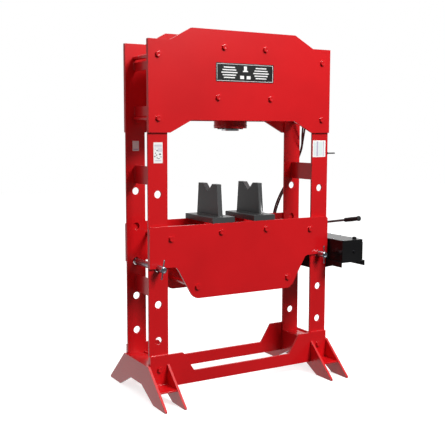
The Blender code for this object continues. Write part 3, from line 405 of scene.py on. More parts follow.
def bead(start, end, size, seed):
    """Rings of a weld bead: a round bar along the joint whose radius ripples once every 3 mm, wanders a
    little, and shrinks towards each end."""
    start, end = np.array(start, float), np.array(end, float)
    length = np.linalg.norm(end - start)
    count = max(8, round(length / BEAD_STEP))
    t = np.linspace(0, 1, count)
    wander = np.random.default_rng(seed).normal(0, 0.05, count)
    wander = np.convolve(wander, np.ones(5) / 5, "same")
    ripple = 1 + 0.10 * np.sin(t * length / BEAD_RIPPLE * math.tau) + wander
    taper = np.clip(np.minimum(t, 1 - t) * length / size, 0.25, 1) ** 0.5
    return along(start + t[:, None] * (end - start), size * ripple * taper, 8)


def slab(centre, right, up, width, height, corner, thickness, ease=0.0004):
    """Rings of a flat plate with round corners and eased edges, its back at centre and facing right x up. Its
    outline is four quarter circles of radius corner round a rectangle that is smaller by that radius."""
    right, up = np.array(right, float), np.array(up, float)
    out = np.cross(right, up)
    quarter = np.linspace(0, math.pi / 2, CORNER_STEPS)
    angle = np.concatenate([quarter + k * math.pi / 2 for k in range(4)])
    signs = np.repeat(np.array(((1, 1), (-1, 1), (-1, -1), (1, -1))), CORNER_STEPS, axis=0)
    core = signs * (np.array((width, height)) / 2 - corner)
    round_part = np.stack([np.cos(angle), np.sin(angle)], axis=1)
    levels = np.array(((0, 0), (0, thickness - ease), (ease, thickness)))
    flat = core[None] + round_part[None] * (corner - levels[:, :1, None])
    return (
        np.array(centre, float) + flat[..., :1] * right + flat[..., 1:] * up
        + levels[:, 1][:, None, None] * out
    )


# ---------------------------------------------------------------- CAD nodes: enamel, eased edges


def ease_edges(node, width):
    """Rounds the plate's arrises, as a flap wheel leaves them before painting."""
    obj = NODES[node]
    weld = obj.modifiers.new("Weld", "WELD")
    weld.merge_threshold = 0.00002
    bevel = obj.modifiers.new("Bevel", "BEVEL")
    bevel.width = width
    bevel.segments = 2
    bevel.limit_method = "ANGLE"
    bevel.angle_limit = math.radians(40)
    bevel.use_clamp_overlap = True
    bevel.harden_normals = True


for node, slot in SLOT_OF.items():
    NODES[node].data.materials.clear()
    NODES[node].data.materials.append(MATERIALS[slot])

# ---------------------------------------------------------------- hoses

HOSE_DIAMETER = 0.011
HOSE_ROUTES = {
    "hose_retract": (
        (0.0326, 0, 1.589), (0.0673, 0, 1.589), (0.1565, 0.002, 1.595), (0.2622, 0.006, 1.617),
        (0.3487, 0.012, 1.641), (0.4047, 0.018, 1.652), (0.4487, 0.026, 1.647), (0.4848, 0.036, 1.616),
        (0.4938, 0.047, 1.56), (0.4968, 0.063, 1.488), (0.5068, 0.094, 1.414), (0.5238, 0.134, 1.351),
        (0.5228, 0.172, 1.283), (0.5048, 0.192, 1.208), (0.4627, 0.202, 1.145), (0.4068, 0.203, 1.06),
        (0.3668, 0.202, 0.965), (0.3518, 0.202, 0.86), (0.3648, 0.202, 0.76), (0.4068, 0.205, 0.68),
        (0.4728, 0.208, 0.64), (0.5388, 0.208, 0.662), (0.5685, 0.2085, 0.725), (0.5755, 0.2065, 0.781),
        (0.5765, 0.1983, 0.8134), (0.5765, 0.1773, 0.8339), (0.5765, 0.149, 0.8419), (0.5765, 0.117, 0.8419),
        (0.5765, 0.0998, 0.8419),
    ),
    "hose_advance": (
        (0.0326, 0, 1.8017), (0.0673, 0, 1.8017), (0.1469, 0.006, 1.7897), (0.243, 0.018, 1.7437),
        (0.3295, 0.034, 1.6957), (0.4108, 0.052, 1.669), (0.4627, 0.06, 1.639), (0.4888, 0.068, 1.593),
        (0.4968, 0.081, 1.523), (0.5118, 0.11, 1.447), (0.5338, 0.145, 1.374), (0.5368, 0.181, 1.305),
        (0.5228, 0.204, 1.226), (0.4888, 0.218, 1.145), (0.4337, 0.219, 1.06), (0.3927, 0.219, 0.965),
        (0.3767, 0.22, 0.87), (0.3887, 0.222, 0.79), (0.4367, 0.226, 0.722), (0.5068, 0.229, 0.694),
        (0.5728, 0.228, 0.716), (0.6065, 0.2245, 0.769), (0.6125, 0.2155, 0.8134), (0.6125, 0.1943, 0.8339),
        (0.6125, 0.165, 0.8419), (0.6125, 0.13, 0.8419), (0.6125, 0.0998, 0.8419),
    ),
}


def smooth_route(route, per_span):
    """Points on a Catmull-Rom curve through the route: on each span a cubic whose end slopes are half the
    chord between the neighbours."""
    points = np.array(route, float)
    ends = 2 * points[[0, -1]] - points[[1, -2]]
    padded = np.concatenate([ends[:1], points, ends[1:]])
    t = (np.arange(per_span) / per_span)[:, None, None]
    before, start, end, after = padded[:-3], padded[1:-2], padded[2:-1], padded[3:]
    spans = 0.5 * (
        2 * start + (end - before) * t + (2 * before - 5 * start + 4 * end - after) * t ** 2
        + (3 * start - before - 3 * end + after) * t ** 3
    )
    return np.concatenate([spans.transpose(1, 0, 2).reshape(-1, 3), points[-1:]])


def crimped_fitting(start, axis):
    """Rings of a hose end: a hexagon swivel nut at the port and a crimped sleeve with eight pressed flats."""
    nut = turned(start, axis, (
        (0.0072, 0.0005), (0.0098, 0.0012), (0.0112, 0.0030), (0.0112, 0.0125), (0.0098, 0.0140),
    ), 48, hexagon(0.019))
    sleeve = turned(start, axis, (
        (0.0070, 0.0138), (0.0078, 0.0146), (0.0078, 0.0180), (0.0090, 0.0186), (0.0092, 0.0330),
        (0.0086, 0.0345), (0.0062, 0.0348),
    ), 48, fluted(0.0092, 0.0006, 8))
    return [nut, sleeve]


def add_hoses():
    """Two hose covers on their routes, each with a crimped fitting at both ends."""
    for name, route in HOSE_ROUTES.items():
        line = smooth_route(route, 8)
        curve = bpy.data.curves.new(name + "_cover", "CURVE")
        curve.dimensions = "3D"
        curve.bevel_depth = HOSE_DIAMETER / 2
        curve.bevel_resolution = 4
        curve.use_fill_caps = True
        spline = curve.splines.new("POLY")
        spline.points.add(len(line) - 1)
        spline.points.foreach_set("co", np.column_stack([line, np.ones(len(line))]).ravel())
        spline.use_smooth = True
        curve.materials.append(MATERIALS["hose_rubber"])
        hose = bpy.data.objects.new(name + "_cover", curve)
        bpy.context.scene.collection.objects.link(hose)
        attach(hose, "frame")
        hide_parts(name)
        ends = (("cylinder", line[0], EAST), ("pump", line[-1], NORTH))
        for place, start, axis in ends:
            mesh = skin(f"{name}_fitting_{place}", crimped_fitting(start, axis))
            piece(f"{name}_fitting_{place}", mesh, "zinc_plate", "frame")


add_camera()
add_hoses()

# ---------------------------------------------------------------- plates: eased edges

WELL_ROUNDED = ("v_block", "head_plate", "bed_plate")
ROUNDED = (
    "upright", "base_rail", "foot", "brace", "head_yoke", "cylinder_guide", "pump_bracket", "pump_tank",
    "tank_lid", "pump_block",
)
for node in SLOT_OF:
    if node.startswith(WELL_ROUNDED):
        ease_edges(node, 0.0016)
    elif node.startswith(ROUNDED):
        ease_edges(node, 0.0012)

# ---------------------------------------------------------------- ties: spacer tubes and hexagon heads

HEX_HEAD_HEIGHT = 0.011
TIE_GAP = 0.0006  # from a tie's shoulder to the plate


def hex_head(start, axis):
    """Rings of a hexagon head with a washer face below it and a chamfered crown."""
    return turned(start, axis, (
        (0.0130, 0.0000), (0.0134, 0.0003), (0.0134, 0.0009), (0.0150, 0.0011), (0.0162, 0.0020),
        (0.0162, 0.0092), (0.0148, 0.0106), (0.0120, 0.0110), (0.0060, 0.0110), (0.0050, 0.0107),
    ), 72, hexagon(0.028))


def add_tie(node, body):
    """A stepped tie: a spacer tube between the plates, a shank through them, and a hexagon outside each."""
    low, high = corners(node)
    x, _, z = (low + high) / 2
    reach = high[1] - HEX_HEAD_HEIGHT
    part = node.split("_")[0]
    held = "upright_rear_left" if "end_tie" in node else f"{part}_plate_rear"
    shoulder = corners(held)[0][1] - TIE_GAP
    stacks = [
        turned((x, -shoulder, z), NORTH, (
            (0.0105, 0.0), (0.0120, 0.0015), (0.0120, 2 * shoulder - 0.0015), (0.0105, 2 * shoulder),
        ), 40),
        turned((x, -reach, z), NORTH, ((0.0079, 0.0), (0.0079, 2 * reach)), 32),
        hex_head((x, reach, z), NORTH),
        hex_head((x, -reach, z), SOUTH),
    ]
    piece(node + "_bolt", skin(node + "_bolt", stacks, 25), SLOT_OF[node], body, [node])


for node in SLOT_OF:
    if "_tie_" in node:
        add_tie(node, "bed" if node.startswith("bed") else "frame")

# ---------------------------------------------------------------- support pins

PIN_BAR_TILTS = {"left": 9, "right": -2}  # degrees from upright
HALF_PIN_BAR = 0.054


def add_pin(side):
    """A turned pin with a chamfered and ringed nose, and a straight cross bar with rounded ends."""
    low, high = corners(f"support_pin_{side}")
    x, _, z = (low + high) / 2
    length = high[1] - low[1]
    body = turned((x, low[1], z), NORTH, (
        (0.0050, 0.0028), (0.0098, 0.0026), (0.0108, 0.0012), (0.0118, 0.0004), (0.0146, 0.0000),
        (0.0160, 0.0006), (0.0179, 0.0026), (0.0180, 0.0034), (0.0180, 0.0300), (0.0176, 0.0304),
        (0.0176, 0.0318), (0.0180, 0.0322), (0.0180, length - 0.0060), (0.0174, length - 0.0042),
        (0.0130, length - 0.0003), (0.0120, length),
    ), 64)
    name = f"support_pin_{side}_turned"
    piece(name, skin(name, [body], 30), "zinc_plate", f"pin_{side}", [f"support_pin_{side}"])
    low, high = corners(f"pin_bar_{side}")
    tilt = math.radians(PIN_BAR_TILTS[side])
    ahead = np.array((math.sin(tilt), 0, math.cos(tilt)))
    start = (low + high) / 2 - ahead * HALF_PIN_BAR
    bar = turned(start, ahead, (
        (0.0012, 0.0000), (0.0026, 0.0005), (0.0036, 0.0018), (0.0040, 0.0036), (0.0040, 0.1044),
        (0.0036, 0.1062), (0.0026, 0.1075), (0.0012, 0.1080),
    ), 32)
    name = f"pin_bar_{side}_rounded"
    piece(name, skin(name, [bar]), "zinc_plate", f"pin_{side}", [f"pin_bar_{side}"])


add_pin("left")
add_pin("right")

# ---------------------------------------------------------------- weld beads

BEAD_INSET = 0.006  # a bead stops this far short of an edge
SHELF_WELD_HEIGHT = 0.0842
V_BASE_HEIGHT = 0.031
V_PLATE_HALF_FOOT = 0.1245
V_PLATE_HALF_THICKNESS = 0.015


def weld(name, lines, size, finish, body):
    """One piece of weld beads along lines of (start, end)."""
    stacks = [bead(start, end, size, seed) for seed, (start, end) in enumerate(lines)]
    piece(name, skin(name, stacks, 60), finish, body)


def add_frame_welds():
    """Beads along the braces, the rails' ends, the feet, the yoke and the guide plate."""
    rail_low, rail_high = corners("base_rail_front")
    back_high = corners("base_rail_rear")[1]
    lines = []
    for side, sign in SIDES:
        low, high = corners(f"upright_front_{side}")
        rear_low, rear_high = corners(f"upright_rear_{side}")
        for name in ("top", "head", "middle", "low"):
            if (side, name) == ("right", "low"):
                continue
            brace_low, brace_high = corners(f"brace_{side}_{name}")
            x = brace_low[0]
            for y in (high[1] + 0.0004, rear_low[1] - 0.0004):
                lines.append(((x, y, brace_low[2] + BEAD_INSET), (x, y, brace_high[2] - BEAD_INSET)))
        ends = (low[0] + BEAD_INSET, high[0] - BEAD_INSET)
        for y in (low[1], rear_high[1]):
            lines.append(((ends[0], y, rail_high[2]), (ends[1], y, rail_high[2])))
        outer = high[0] if sign > 0 else low[0]
        foot_top = corners(f"foot_outer_{side}")[1][2]
        for y in (low[1], high[1], rear_low[1], rear_high[1]):
            lines.append(((outer, y, rail_low[2] + BEAD_INSET), (outer, y, foot_top - BEAD_INSET)))
        for y in (rail_low[1], back_high[1]):
            lines.append(((low[0] + 0.018, y, SHELF_WELD_HEIGHT), (ends[1], y, SHELF_WELD_HEIGHT)))
    weld("frame_weld_beads", lines, 0.0032, "red_enamel", "frame")
    lines = []
    for node in ("head_yoke", "cylinder_guide"):
        low, high = corners(node)
        for y in (low[1] + 0.0002, high[1] - 0.0002):
            for z in (low[2], high[2]):
                lines.append(((low[0] + 0.01, y, z), (high[0] - 0.01, y, z)))
    weld("head_weld_beads", lines, 0.0042, "red_enamel", "frame")


def add_v_block_welds(side):
    """A bead round the foot of the notched plate."""
    low, high = corners(f"v_block_{side}_body")
    x = (low[0] + high[0]) / 2
    z = low[2] + V_BASE_HEIGHT + 0.0004
    half = V_PLATE_HALF_FOOT
    lines = []
    for edge in (-V_PLATE_HALF_THICKNESS, V_PLATE_HALF_THICKNESS):
        lines.append(((x + edge, -half, z), (x + edge, half, z)))
    for end in (-half, half):
        lines.append(((x - 0.013, end, z), (x + 0.013, end, z)))
    weld(f"v_block_{side}_weld_beads", lines, 0.0046, "grey_enamel", f"v_block_{side}")


add_frame_welds()
add_v_block_welds("left")
add_v_block_welds("right")

# ---------------------------------------------------------------- cylinder and ram

ROD_RADIUS = 0.0515
PISTON_RADIUS = 0.0775
PISTON_HEIGHT = 0.050
RING_GROOVE_RADIUS = 0.0745
GLAND_SCREW_CIRCLE = 0.0685
GLAND_SCREW_COUNT = 8
PORT_HEX_LENGTH = 0.0203


def add_ram():
    """The ground and plated rod with a radiused nose and a centre drilling, and its piston with a ring
    groove."""
    low, high = corners("ram_rod")
    rod, bore, groove = ROD_RADIUS, PISTON_RADIUS, RING_GROOVE_RADIUS
    top = high[2] - low[2]
    shoulder = top - PISTON_HEIGHT
    rings = turned((RAM_X, 0.0, low[2]), UP, (
        (0.0030, 0.0090), (0.0034, 0.0066), (0.0085, 0.0012), (0.0092, 0.0003), (0.0110, 0.0000),
        (0.0480, 0.0000), (0.0500, 0.0006), (0.0510, 0.0018), (rod, 0.0032), (rod, shoulder - 0.001),
        (rod, shoulder), (bore, shoulder + 0.0004), (bore, shoulder + 0.012), (groove, shoulder + 0.0125),
        (groove, shoulder + 0.020), (bore, shoulder + 0.0205), (bore, top - 0.001), (bore - 0.001, top),
    ), 96)
    piece("ram_rod_ground", skin("ram_rod_ground", [rings], 30), "chrome", "ram", ["ram_rod"])


def add_gland_face():
    """A lipped wiper and a ring of cap screws in the gland's face."""
    z = corners("cylinder_gland")[0][2]
    wiper = turned((RAM_X, 0, z), DOWN, (
        (0.0522, 0.0), (0.0522, 0.0022), (0.0530, 0.0030), (0.0560, 0.0022), (0.0590, 0.0004), (0.0592, 0.0),
    ), 96)
    piece("rod_wiper", hoop("rod_wiper", wiper, 180), "black_rubber", "frame")
    screws = []
    for k in range(GLAND_SCREW_COUNT):
        angle = math.tau * (k + 0.5) / GLAND_SCREW_COUNT
        out = np.array((math.cos(angle), math.sin(angle), 0.0))
        screws.append(turned(out * GLAND_SCREW_CIRCLE + (RAM_X, 0.0, z), DOWN, (
            (0.0062, -0.0004), (0.0066, 0.0004), (0.0066, 0.0042), (0.0060, 0.0050), (0.0040, 0.0051),
            (0.0037, 0.0030),
        ), 24))
    piece("gland_screws", skin("gland_screws", screws, 30), "dark_steel", "frame")


def add_barrel_trim():
    """A rolled bead round the barrel's mouth and a hexagon adaptor on each port."""
    lip = turned((RAM_X, 0, corners("cylinder_barrel")[0][2]), UP, (
        (0.0945, 0.0100), (0.0968, 0.0108), (0.0978, 0.0125), (0.0978, 0.0165), (0.0968, 0.0182),
        (0.0945, 0.0190),
    ), 96)
    piece("cylinder_mouth_bead", skin("cylinder_mouth_bead", [lip]), "red_enamel", "frame")
    stacks = []
    for route in HOSE_ROUTES.values():
        start = np.array(route[0]) - (PORT_HEX_LENGTH, 0, 0)
        stacks.append(turned(start, EAST, (
            (0.0120, 0.0), (0.0132, 0.0008), (0.0138, 0.0020), (0.0138, 0.0110), (0.0126, 0.0122),
            (0.0112, 0.0124),
        ), 48, hexagon(0.024)))
    piece("cylinder_port_adaptors", skin("cylinder_port_adaptors", stacks, 30), "zinc_plate", "frame")


add_ram()
add_gland_face()
add_barrel_trim()

# ---------------------------------------------------------------- pump: tank, lid and fittings

LID_SCREW_INSET = 0.0085
LID_SCREWS_IN_ROW = 5
DRAIN_PLUG_PLACE = (RAM_X + 0.6955, 0.748)  # x and height
BRACKET_BOLT_HEIGHT = 0.635
BRACKET_BOLT_YS = (-0.120, 0.110)


def button_head(place):
    """Rings of a button-head screw with a drilled socket."""
    radius, height = 0.0048, 0.0032
    return turned(place, UP, (
        (radius * 0.96, -0.0004), (radius, 0.0004), (radius * 0.97, height * 0.45),
        (radius * 0.80, height * 0.80), (radius * 0.52, height), (radius * 0.46, height),
        (radius * 0.42, height * 0.45),
    ), 24)


def add_tank_details():
    """The lid's screws and gasket, the drain plug, the tank's corner welds and the bracket's bolts."""
    low, high = corners("pump_tank")
    lid_low, lid_high = corners("tank_lid")
    xs = (lid_low[0] + LID_SCREW_INSET, lid_high[0] - LID_SCREW_INSET)
    ys = np.linspace(lid_low[1] + LID_SCREW_INSET, lid_high[1] - LID_SCREW_INSET, LID_SCREWS_IN_ROW)
    heads = [button_head((x, y, lid_high[2])) for x in xs for y in ys]
    piece("tank_lid_screws", skin("tank_lid_screws", heads, 30), "zinc_plate", "frame")
    gasket = [slab(
        ((low[0] + high[0]) / 2, (low[1] + high[1]) / 2, high[2] - 0.0004), EAST, NORTH,
        high[0] - low[0] - 0.003, high[1] - low[1] - 0.003, 0.004, 0.0012,
    )]
    piece("tank_gasket", skin("tank_gasket", gasket), "black_rubber", "frame")
    plug_place = (DRAIN_PLUG_PLACE[0], low[1], DRAIN_PLUG_PLACE[1])
    plug = [
        turned(plug_place, SOUTH, (
            (0.0078, -0.0006), (0.0088, 0.0002), (0.0088, 0.0016), (0.0080, 0.0020), (0.0070, 0.0020),
        ), 32),
        turned(plug_place, SOUTH, (
            (0.0060, 0.0015), (0.0074, 0.0020), (0.0074, 0.0062), (0.0066, 0.0072), (0.0040, 0.0074),
        ), 48, hexagon(0.012)),
    ]
    piece("tank_drain_plug", skin("tank_drain_plug", plug, 30), "dark_steel", "frame")
    beads = [
        ((low[0], low[1], low[2] + 0.004), (low[0], low[1], high[2] - 0.004)),
        ((high[0], low[1], low[2] + 0.004), (high[0], low[1], high[2] - 0.004)),
        ((high[0], high[1], low[2] + 0.004), (high[0], high[1], high[2] - 0.004)),
    ]
    weld("tank_corner_welds", beads, 0.0016, "black_enamel", "frame")
    face = corners("pump_bracket")[0][0] + 0.006
    bolts = [turned((face, y, BRACKET_BOLT_HEIGHT), EAST, (
        (0.0092, -0.0004), (0.0098, 0.0006), (0.0098, 0.0056), (0.0088, 0.0068), (0.0050, 0.0070),
    ), 48, hexagon(0.017)) for y in BRACKET_BOLT_YS]
    piece("bracket_bolts", skin("bracket_bolts", bolts, 30), "zinc_plate", "frame")


def add_filler_cap():
    """A knurled breather cap: a fluted rim under a domed top with a small vent button."""
    low, high = corners("filler_cap")
    centre = ((low[0] + high[0]) / 2, (low[1] + high[1]) / 2, low[2])
    rim = turned(centre, UP, (
        (0.0108, 0.0), (0.0124, 0.0008), (0.0130, 0.0016), (0.0130, 0.0080), (0.0122, 0.0096),
        (0.0090, 0.0106), (0.0050, 0.0110),
    ), 96, fluted(0.0130, 0.0008, 24))
    button = turned(centre, UP, (
        (0.0040, 0.0106), (0.0040, 0.0114), (0.0034, 0.0120), (0.0020, 0.0120),
    ), 24)
    mesh = skin("filler_cap_knurled", [rim, button], 30)
    piece("filler_cap_knurled", mesh, "black_rubber", "tank_cap", ["filler_cap"])


def add_knob():
    """The release valve's wheel: eight finger flutes, a dished face and a plated stem."""
    low, high = corners("release_valve_knob")
    start = ((low[0] + high[0]) / 2, high[1], (low[2] + high[2]) / 2)
    wheel = turned(start, SOUTH, (
        (0.0100, 0.0112), (0.0136, 0.0120), (0.0150, 0.0136), (0.0150, 0.0270), (0.0138, 0.0292),
        (0.0112, 0.0300), (0.0100, 0.0290), (0.0060, 0.0284),
    ), 96, fluted(0.0150, 0.0018, 8))
    stem = turned(start, SOUTH, (
        (0.0050, 0.0003), (0.0050, 0.0030), (0.0042, 0.0036), (0.0042, 0.0060), (0.0050, 0.0066),
        (0.0050, 0.0130),
    ), 32)
    mesh = skin("release_knob_wheel", [wheel], 30)
    piece("release_knob_wheel", mesh, "black_rubber", "release_knob", ["release_valve_knob"])
    piece("release_knob_stem", skin("release_knob_stem", [stem], 30), "machined_steel", "release_knob")


# ---------------------------------------------------------------- lever and pump block

LEVER_TILT = math.radians(9.5)  # of the lever at rest, above level
LEVER_AHEAD = np.array((0.0, -math.cos(LEVER_TILT), math.sin(LEVER_TILT)))
PIVOT = middle("lever_pivot_pin")
GRIP_LENGTH = 0.130
GRIP_RIB_PITCH = 0.0065
GRIP_FLANGE_RADIUS = 0.0155
BLOCK_HEIGHT = 0.044
BLOCK_PORT_LENGTH = 0.012
BLOCK_SCREW_INSET = 0.0095
BLOCK_SCREW_XS = (-0.031, 0.031)


def add_lever():
    """The lever's rod, its cast socket with a clamp screw, and its grip, which swells in the middle, is
    ribbed along its length and has a flange at its end."""
    rod = turned(PIVOT + LEVER_AHEAD * 0.0305, LEVER_AHEAD, (
        (0.0058, 0.0), (0.0070, 0.0012), (0.0070, 0.3580), (0.0058, 0.3592),
    ), 40)
    mesh = skin("lever_rod_round", [rod])
    piece("lever_rod_round", mesh, "drawn_bar", "lever", ["lever_rod"])
    s = np.linspace(0, 1, 131)
    swell = 0.0124 + 0.0009 * np.sin(math.pi * np.clip((s - 0.05) / 0.80, 0, 1)) ** 2
    ribs = 0.0007 * (0.5 + 0.5 * np.cos(s * GRIP_LENGTH / GRIP_RIB_PITCH * math.tau)) ** 3
    ribbed = (s > 0.12) & (s < 0.84)
    collar = np.exp(-((s - 0.035) / 0.020) ** 2) * 0.0008
    flange = 0.0032 / (1 + np.exp(-(s - 0.925) / 0.006))
    radius = swell - np.where(ribbed, ribs, 0) + collar + flange
    profile = np.concatenate([
        [(0.0075, 0.0000), (0.0105, 0.0004)], np.column_stack([radius, s * GRIP_LENGTH])[1:-2],
        [(0.0148, 0.1290), (0.0135, 0.1298), (0.0060, 0.1300)],
    ])
    profile[:, 0] = np.minimum(profile[:, 0], GRIP_FLANGE_RADIUS)
    grip = turned(PIVOT + LEVER_AHEAD * 0.290, LEVER_AHEAD, profile, 48)
    piece("lever_grip_ribbed", skin("lever_grip_ribbed", [grip], 50), "black_rubber", "lever", ["lever_grip"])
    socket = [
        turned(PIVOT + LEVER_AHEAD * 0.008, LEVER_AHEAD, (
            (0.0112, 0.0), (0.0116, 0.020), (0.0112, 0.050), (0.0112, 0.056), (0.0120, 0.0575),
            (0.0120, 0.0655), (0.0112, 0.0668), (0.0070, 0.0670),
        ), 48),
        turned(PIVOT - np.array((0.015, 0, 0)), EAST, (
            (0.0096, 0.0), (0.0112, 0.0010), (0.0120, 0.0022), (0.0120, 0.0278), (0.0112, 0.0290),
            (0.0096, 0.0300),
        ), 48),
    ]
    mesh = skin("lever_socket_cast", socket, 35)
    piece("lever_socket_cast", mesh, "cast_iron", "lever", ["lever_socket"])
    up = np.cross(LEVER_AHEAD, EAST)
    screw = turned(PIVOT + LEVER_AHEAD * 0.058 + up * 0.0105, up, (
        (0.0040, 0.0), (0.0040, 0.0040), (0.0034, 0.0046), (0.0022, 0.0046), (0.0019, 0.0026),
    ), 24)
    piece("lever_clamp_screw", skin("lever_clamp_screw", [screw], 30), "dark_steel", "lever")


def add_pump_details():
    """The plunger and its seal collar, the block's screws, the lever's pivot pin and the port adaptors."""
    low, high = corners("pump_block")
    top = low[2] + BLOCK_HEIGHT
    rear = high[1] - BLOCK_PORT_LENGTH
    x, y, _ = middle("pump_plunger")
    shell = turned((x, y, corners("pump_plunger")[0][2]), UP, (
        (0.0070, 0.0), (0.0080, 0.0012), (0.0080, 0.0385), (0.0076, 0.0402), (0.0060, 0.0414),
        (0.0030, 0.0420),
    ), 48)
    piece("pump_plunger_ground", skin("pump_plunger_ground", [shell]), "chrome", "plunger", ["pump_plunger"])
    collar = turned((x, y, top), UP, (
        (0.0084, -0.0005), (0.0125, -0.0005), (0.0125, 0.0030), (0.0115, 0.0040), (0.0090, 0.0040),
        (0.0084, 0.0034),
    ), 48)
    piece("plunger_seal_collar", hoop("plunger_seal_collar", collar, 35), "zinc_plate", "frame")
    ys = (low[1] + BLOCK_SCREW_INSET, rear - BLOCK_SCREW_INSET)
    places = [(PIVOT[0] + across, y, top) for across in BLOCK_SCREW_XS for y in ys]
    heads = [turned(place, UP, (
        (0.0062, -0.0005), (0.0066, 0.0004), (0.0066, 0.0052), (0.0058, 0.0060), (0.0040, 0.0060),
        (0.0036, 0.0030),
    ), 24) for place in places]
    piece("pump_block_screws", skin("pump_block_screws", heads, 30), "dark_steel", "frame")
    pin_low, pin_high = corners("lever_pivot_pin")
    length = pin_high[0] - pin_low[0]
    pin = turned((pin_low[0], PIVOT[1], PIVOT[2]), EAST, (
        (0.0036, 0.0), (0.0048, 0.0008), (0.0050, 0.0014), (0.0050, length - 0.0014),
        (0.0048, length - 0.0008), (0.0036, length),
    ), 32)
    mesh = skin("lever_pivot_pin_turned", [pin], 30)
    piece("lever_pivot_pin_turned", mesh, "machined_steel", "frame", ["lever_pivot_pin"])
    ports = [turned((route[-1][0], rear, route[-1][2]), NORTH, (
        (0.0098, -0.0004), (0.0108, 0.0006), (0.0108, 0.0060), (0.0100, 0.0070), (0.0092, 0.0072),
    ), 48, hexagon(0.0195)) for route in HOSE_ROUTES.values()]
    piece("pump_port_adaptors", skin("pump_port_adaptors", ports, 30), "zinc_plate", "frame")


add_tank_details()
add_filler_cap()
add_knob()
add_lever()
add_pump_details()

# ---------------------------------------------------------------- peg, base bolts, badge and labels

RAIL_BOLT_HEIGHT = 0.172
FOOT_BOLTS = ((-0.104, 0.135), (0.104, 0.135), (-0.200, 0.085), (0.200, 0.085))  # y and height


def add_peg():
    """A straight peg with a domed end and a thin nut against the upright."""
    _, y, z = middle("lever_peg")
    start = (corners("lever_peg")[0][0], y, z)
    peg = turned(start, EAST, (
        (0.0040, 0.0), (0.0040, 0.0565), (0.0036, 0.0585), (0.0024, 0.0597), (0.0010, 0.0600),
    ), 32)
    nut = turned(start, EAST, (
        (0.0065, 0.0002), (0.0075, 0.0008), (0.0075, 0.0048), (0.0066, 0.0058), (0.0045, 0.0060),
    ), 48, hexagon(0.013))
    piece("lever_peg_round", skin("lever_peg_round", [peg, nut], 30), "dark_steel", "frame", ["lever_peg"])


def add_base_bolts():
    """One bolt through each end of each rail, and four in the outer plate of each foot."""
    stacks = []
    front = corners("base_rail_front")[0][1]
    rear = corners("base_rail_rear")[1][1]
    for x in (RAM_X - HALF_SPACING, RAM_X + HALF_SPACING):
        stacks.append(hex_head((x, front, RAIL_BOLT_HEIGHT), SOUTH))
        stacks.append(hex_head((x, rear, RAIL_BOLT_HEIGHT), NORTH))
    for side, sign in SIDES:
        low, high = corners(f"foot_outer_{side}")
        face = high[0] if sign > 0 else low[0]
        for y, z in FOOT_BOLTS:
            stacks.append(hex_head((face - sign * 0.0112, y, z), (sign, 0, 0)))
    piece("base_bolts", skin("base_bolts", stacks, 25), "red_enamel", "frame")


def flat_marks(name, centre, marks, lift, finish):
    """Printed marks as thin slabs on a face towards -Y. Each mark is (across, up the face, width, height)."""
    x, y, z = centre
    stacks = [slab(
        (x + across, y - lift, z + rise), EAST, UP, width, height,
        min(width, height) * 0.12, 0.00012, 0.00003,
    ) for across, rise, width, height in marks]
    piece(name, skin(name, stacks), finish, "frame")


def add_badge():
    """A black badge with a thin pale rule and a plain sign: a ram over a V, between two rows of bars."""
    face = corners("head_plate_front")[0][1]
    centre = (RAM_X, face, 1.7905)
    plate = slab(centre, EAST, UP, 0.380, 0.103, 0.006, 0.0012)
    piece("badge_plate", skin("badge_plate", [plate]), "badge_black", "frame")
    marks = [
        (0.0, 0.0455, 0.366, 0.0022), (0.0, -0.0455, 0.366, 0.0022),
        (-0.1830, 0.0, 0.0022, 0.0932), (0.1830, 0.0, 0.0022, 0.0932),
        (0.0, 0.0240, 0.020, 0.024), (0.0, 0.0090, 0.034, 0.007),
        (-0.0215, -0.0250, 0.026, 0.018), (0.0215, -0.0250, 0.026, 0.018),
    ]
    for k in range(5):
        width = 0.104 - 0.016 * abs(k - 2)
        z = 0.0280 - 0.0140 * k
        marks.append((-0.104, z, width, 0.0062))
        marks.append((0.104, z, width, 0.0062))
    flat_marks("badge_marks", centre, marks, 0.00118, "label_white")


def add_label(name, centre, width, height, finish, prints):
    """A printed label: a thin film, and for each (finish, marks) one piece of marks on its face."""
    plate = slab(centre, EAST, UP, width, height, 0.003, 0.0003, 0.0001)
    piece(name, skin(name, [plate]), finish, "frame")
    for layer, (ink, marks) in enumerate(prints):
        flat_marks(f"{name}_marks_{layer}", centre, marks, 0.00028, ink)


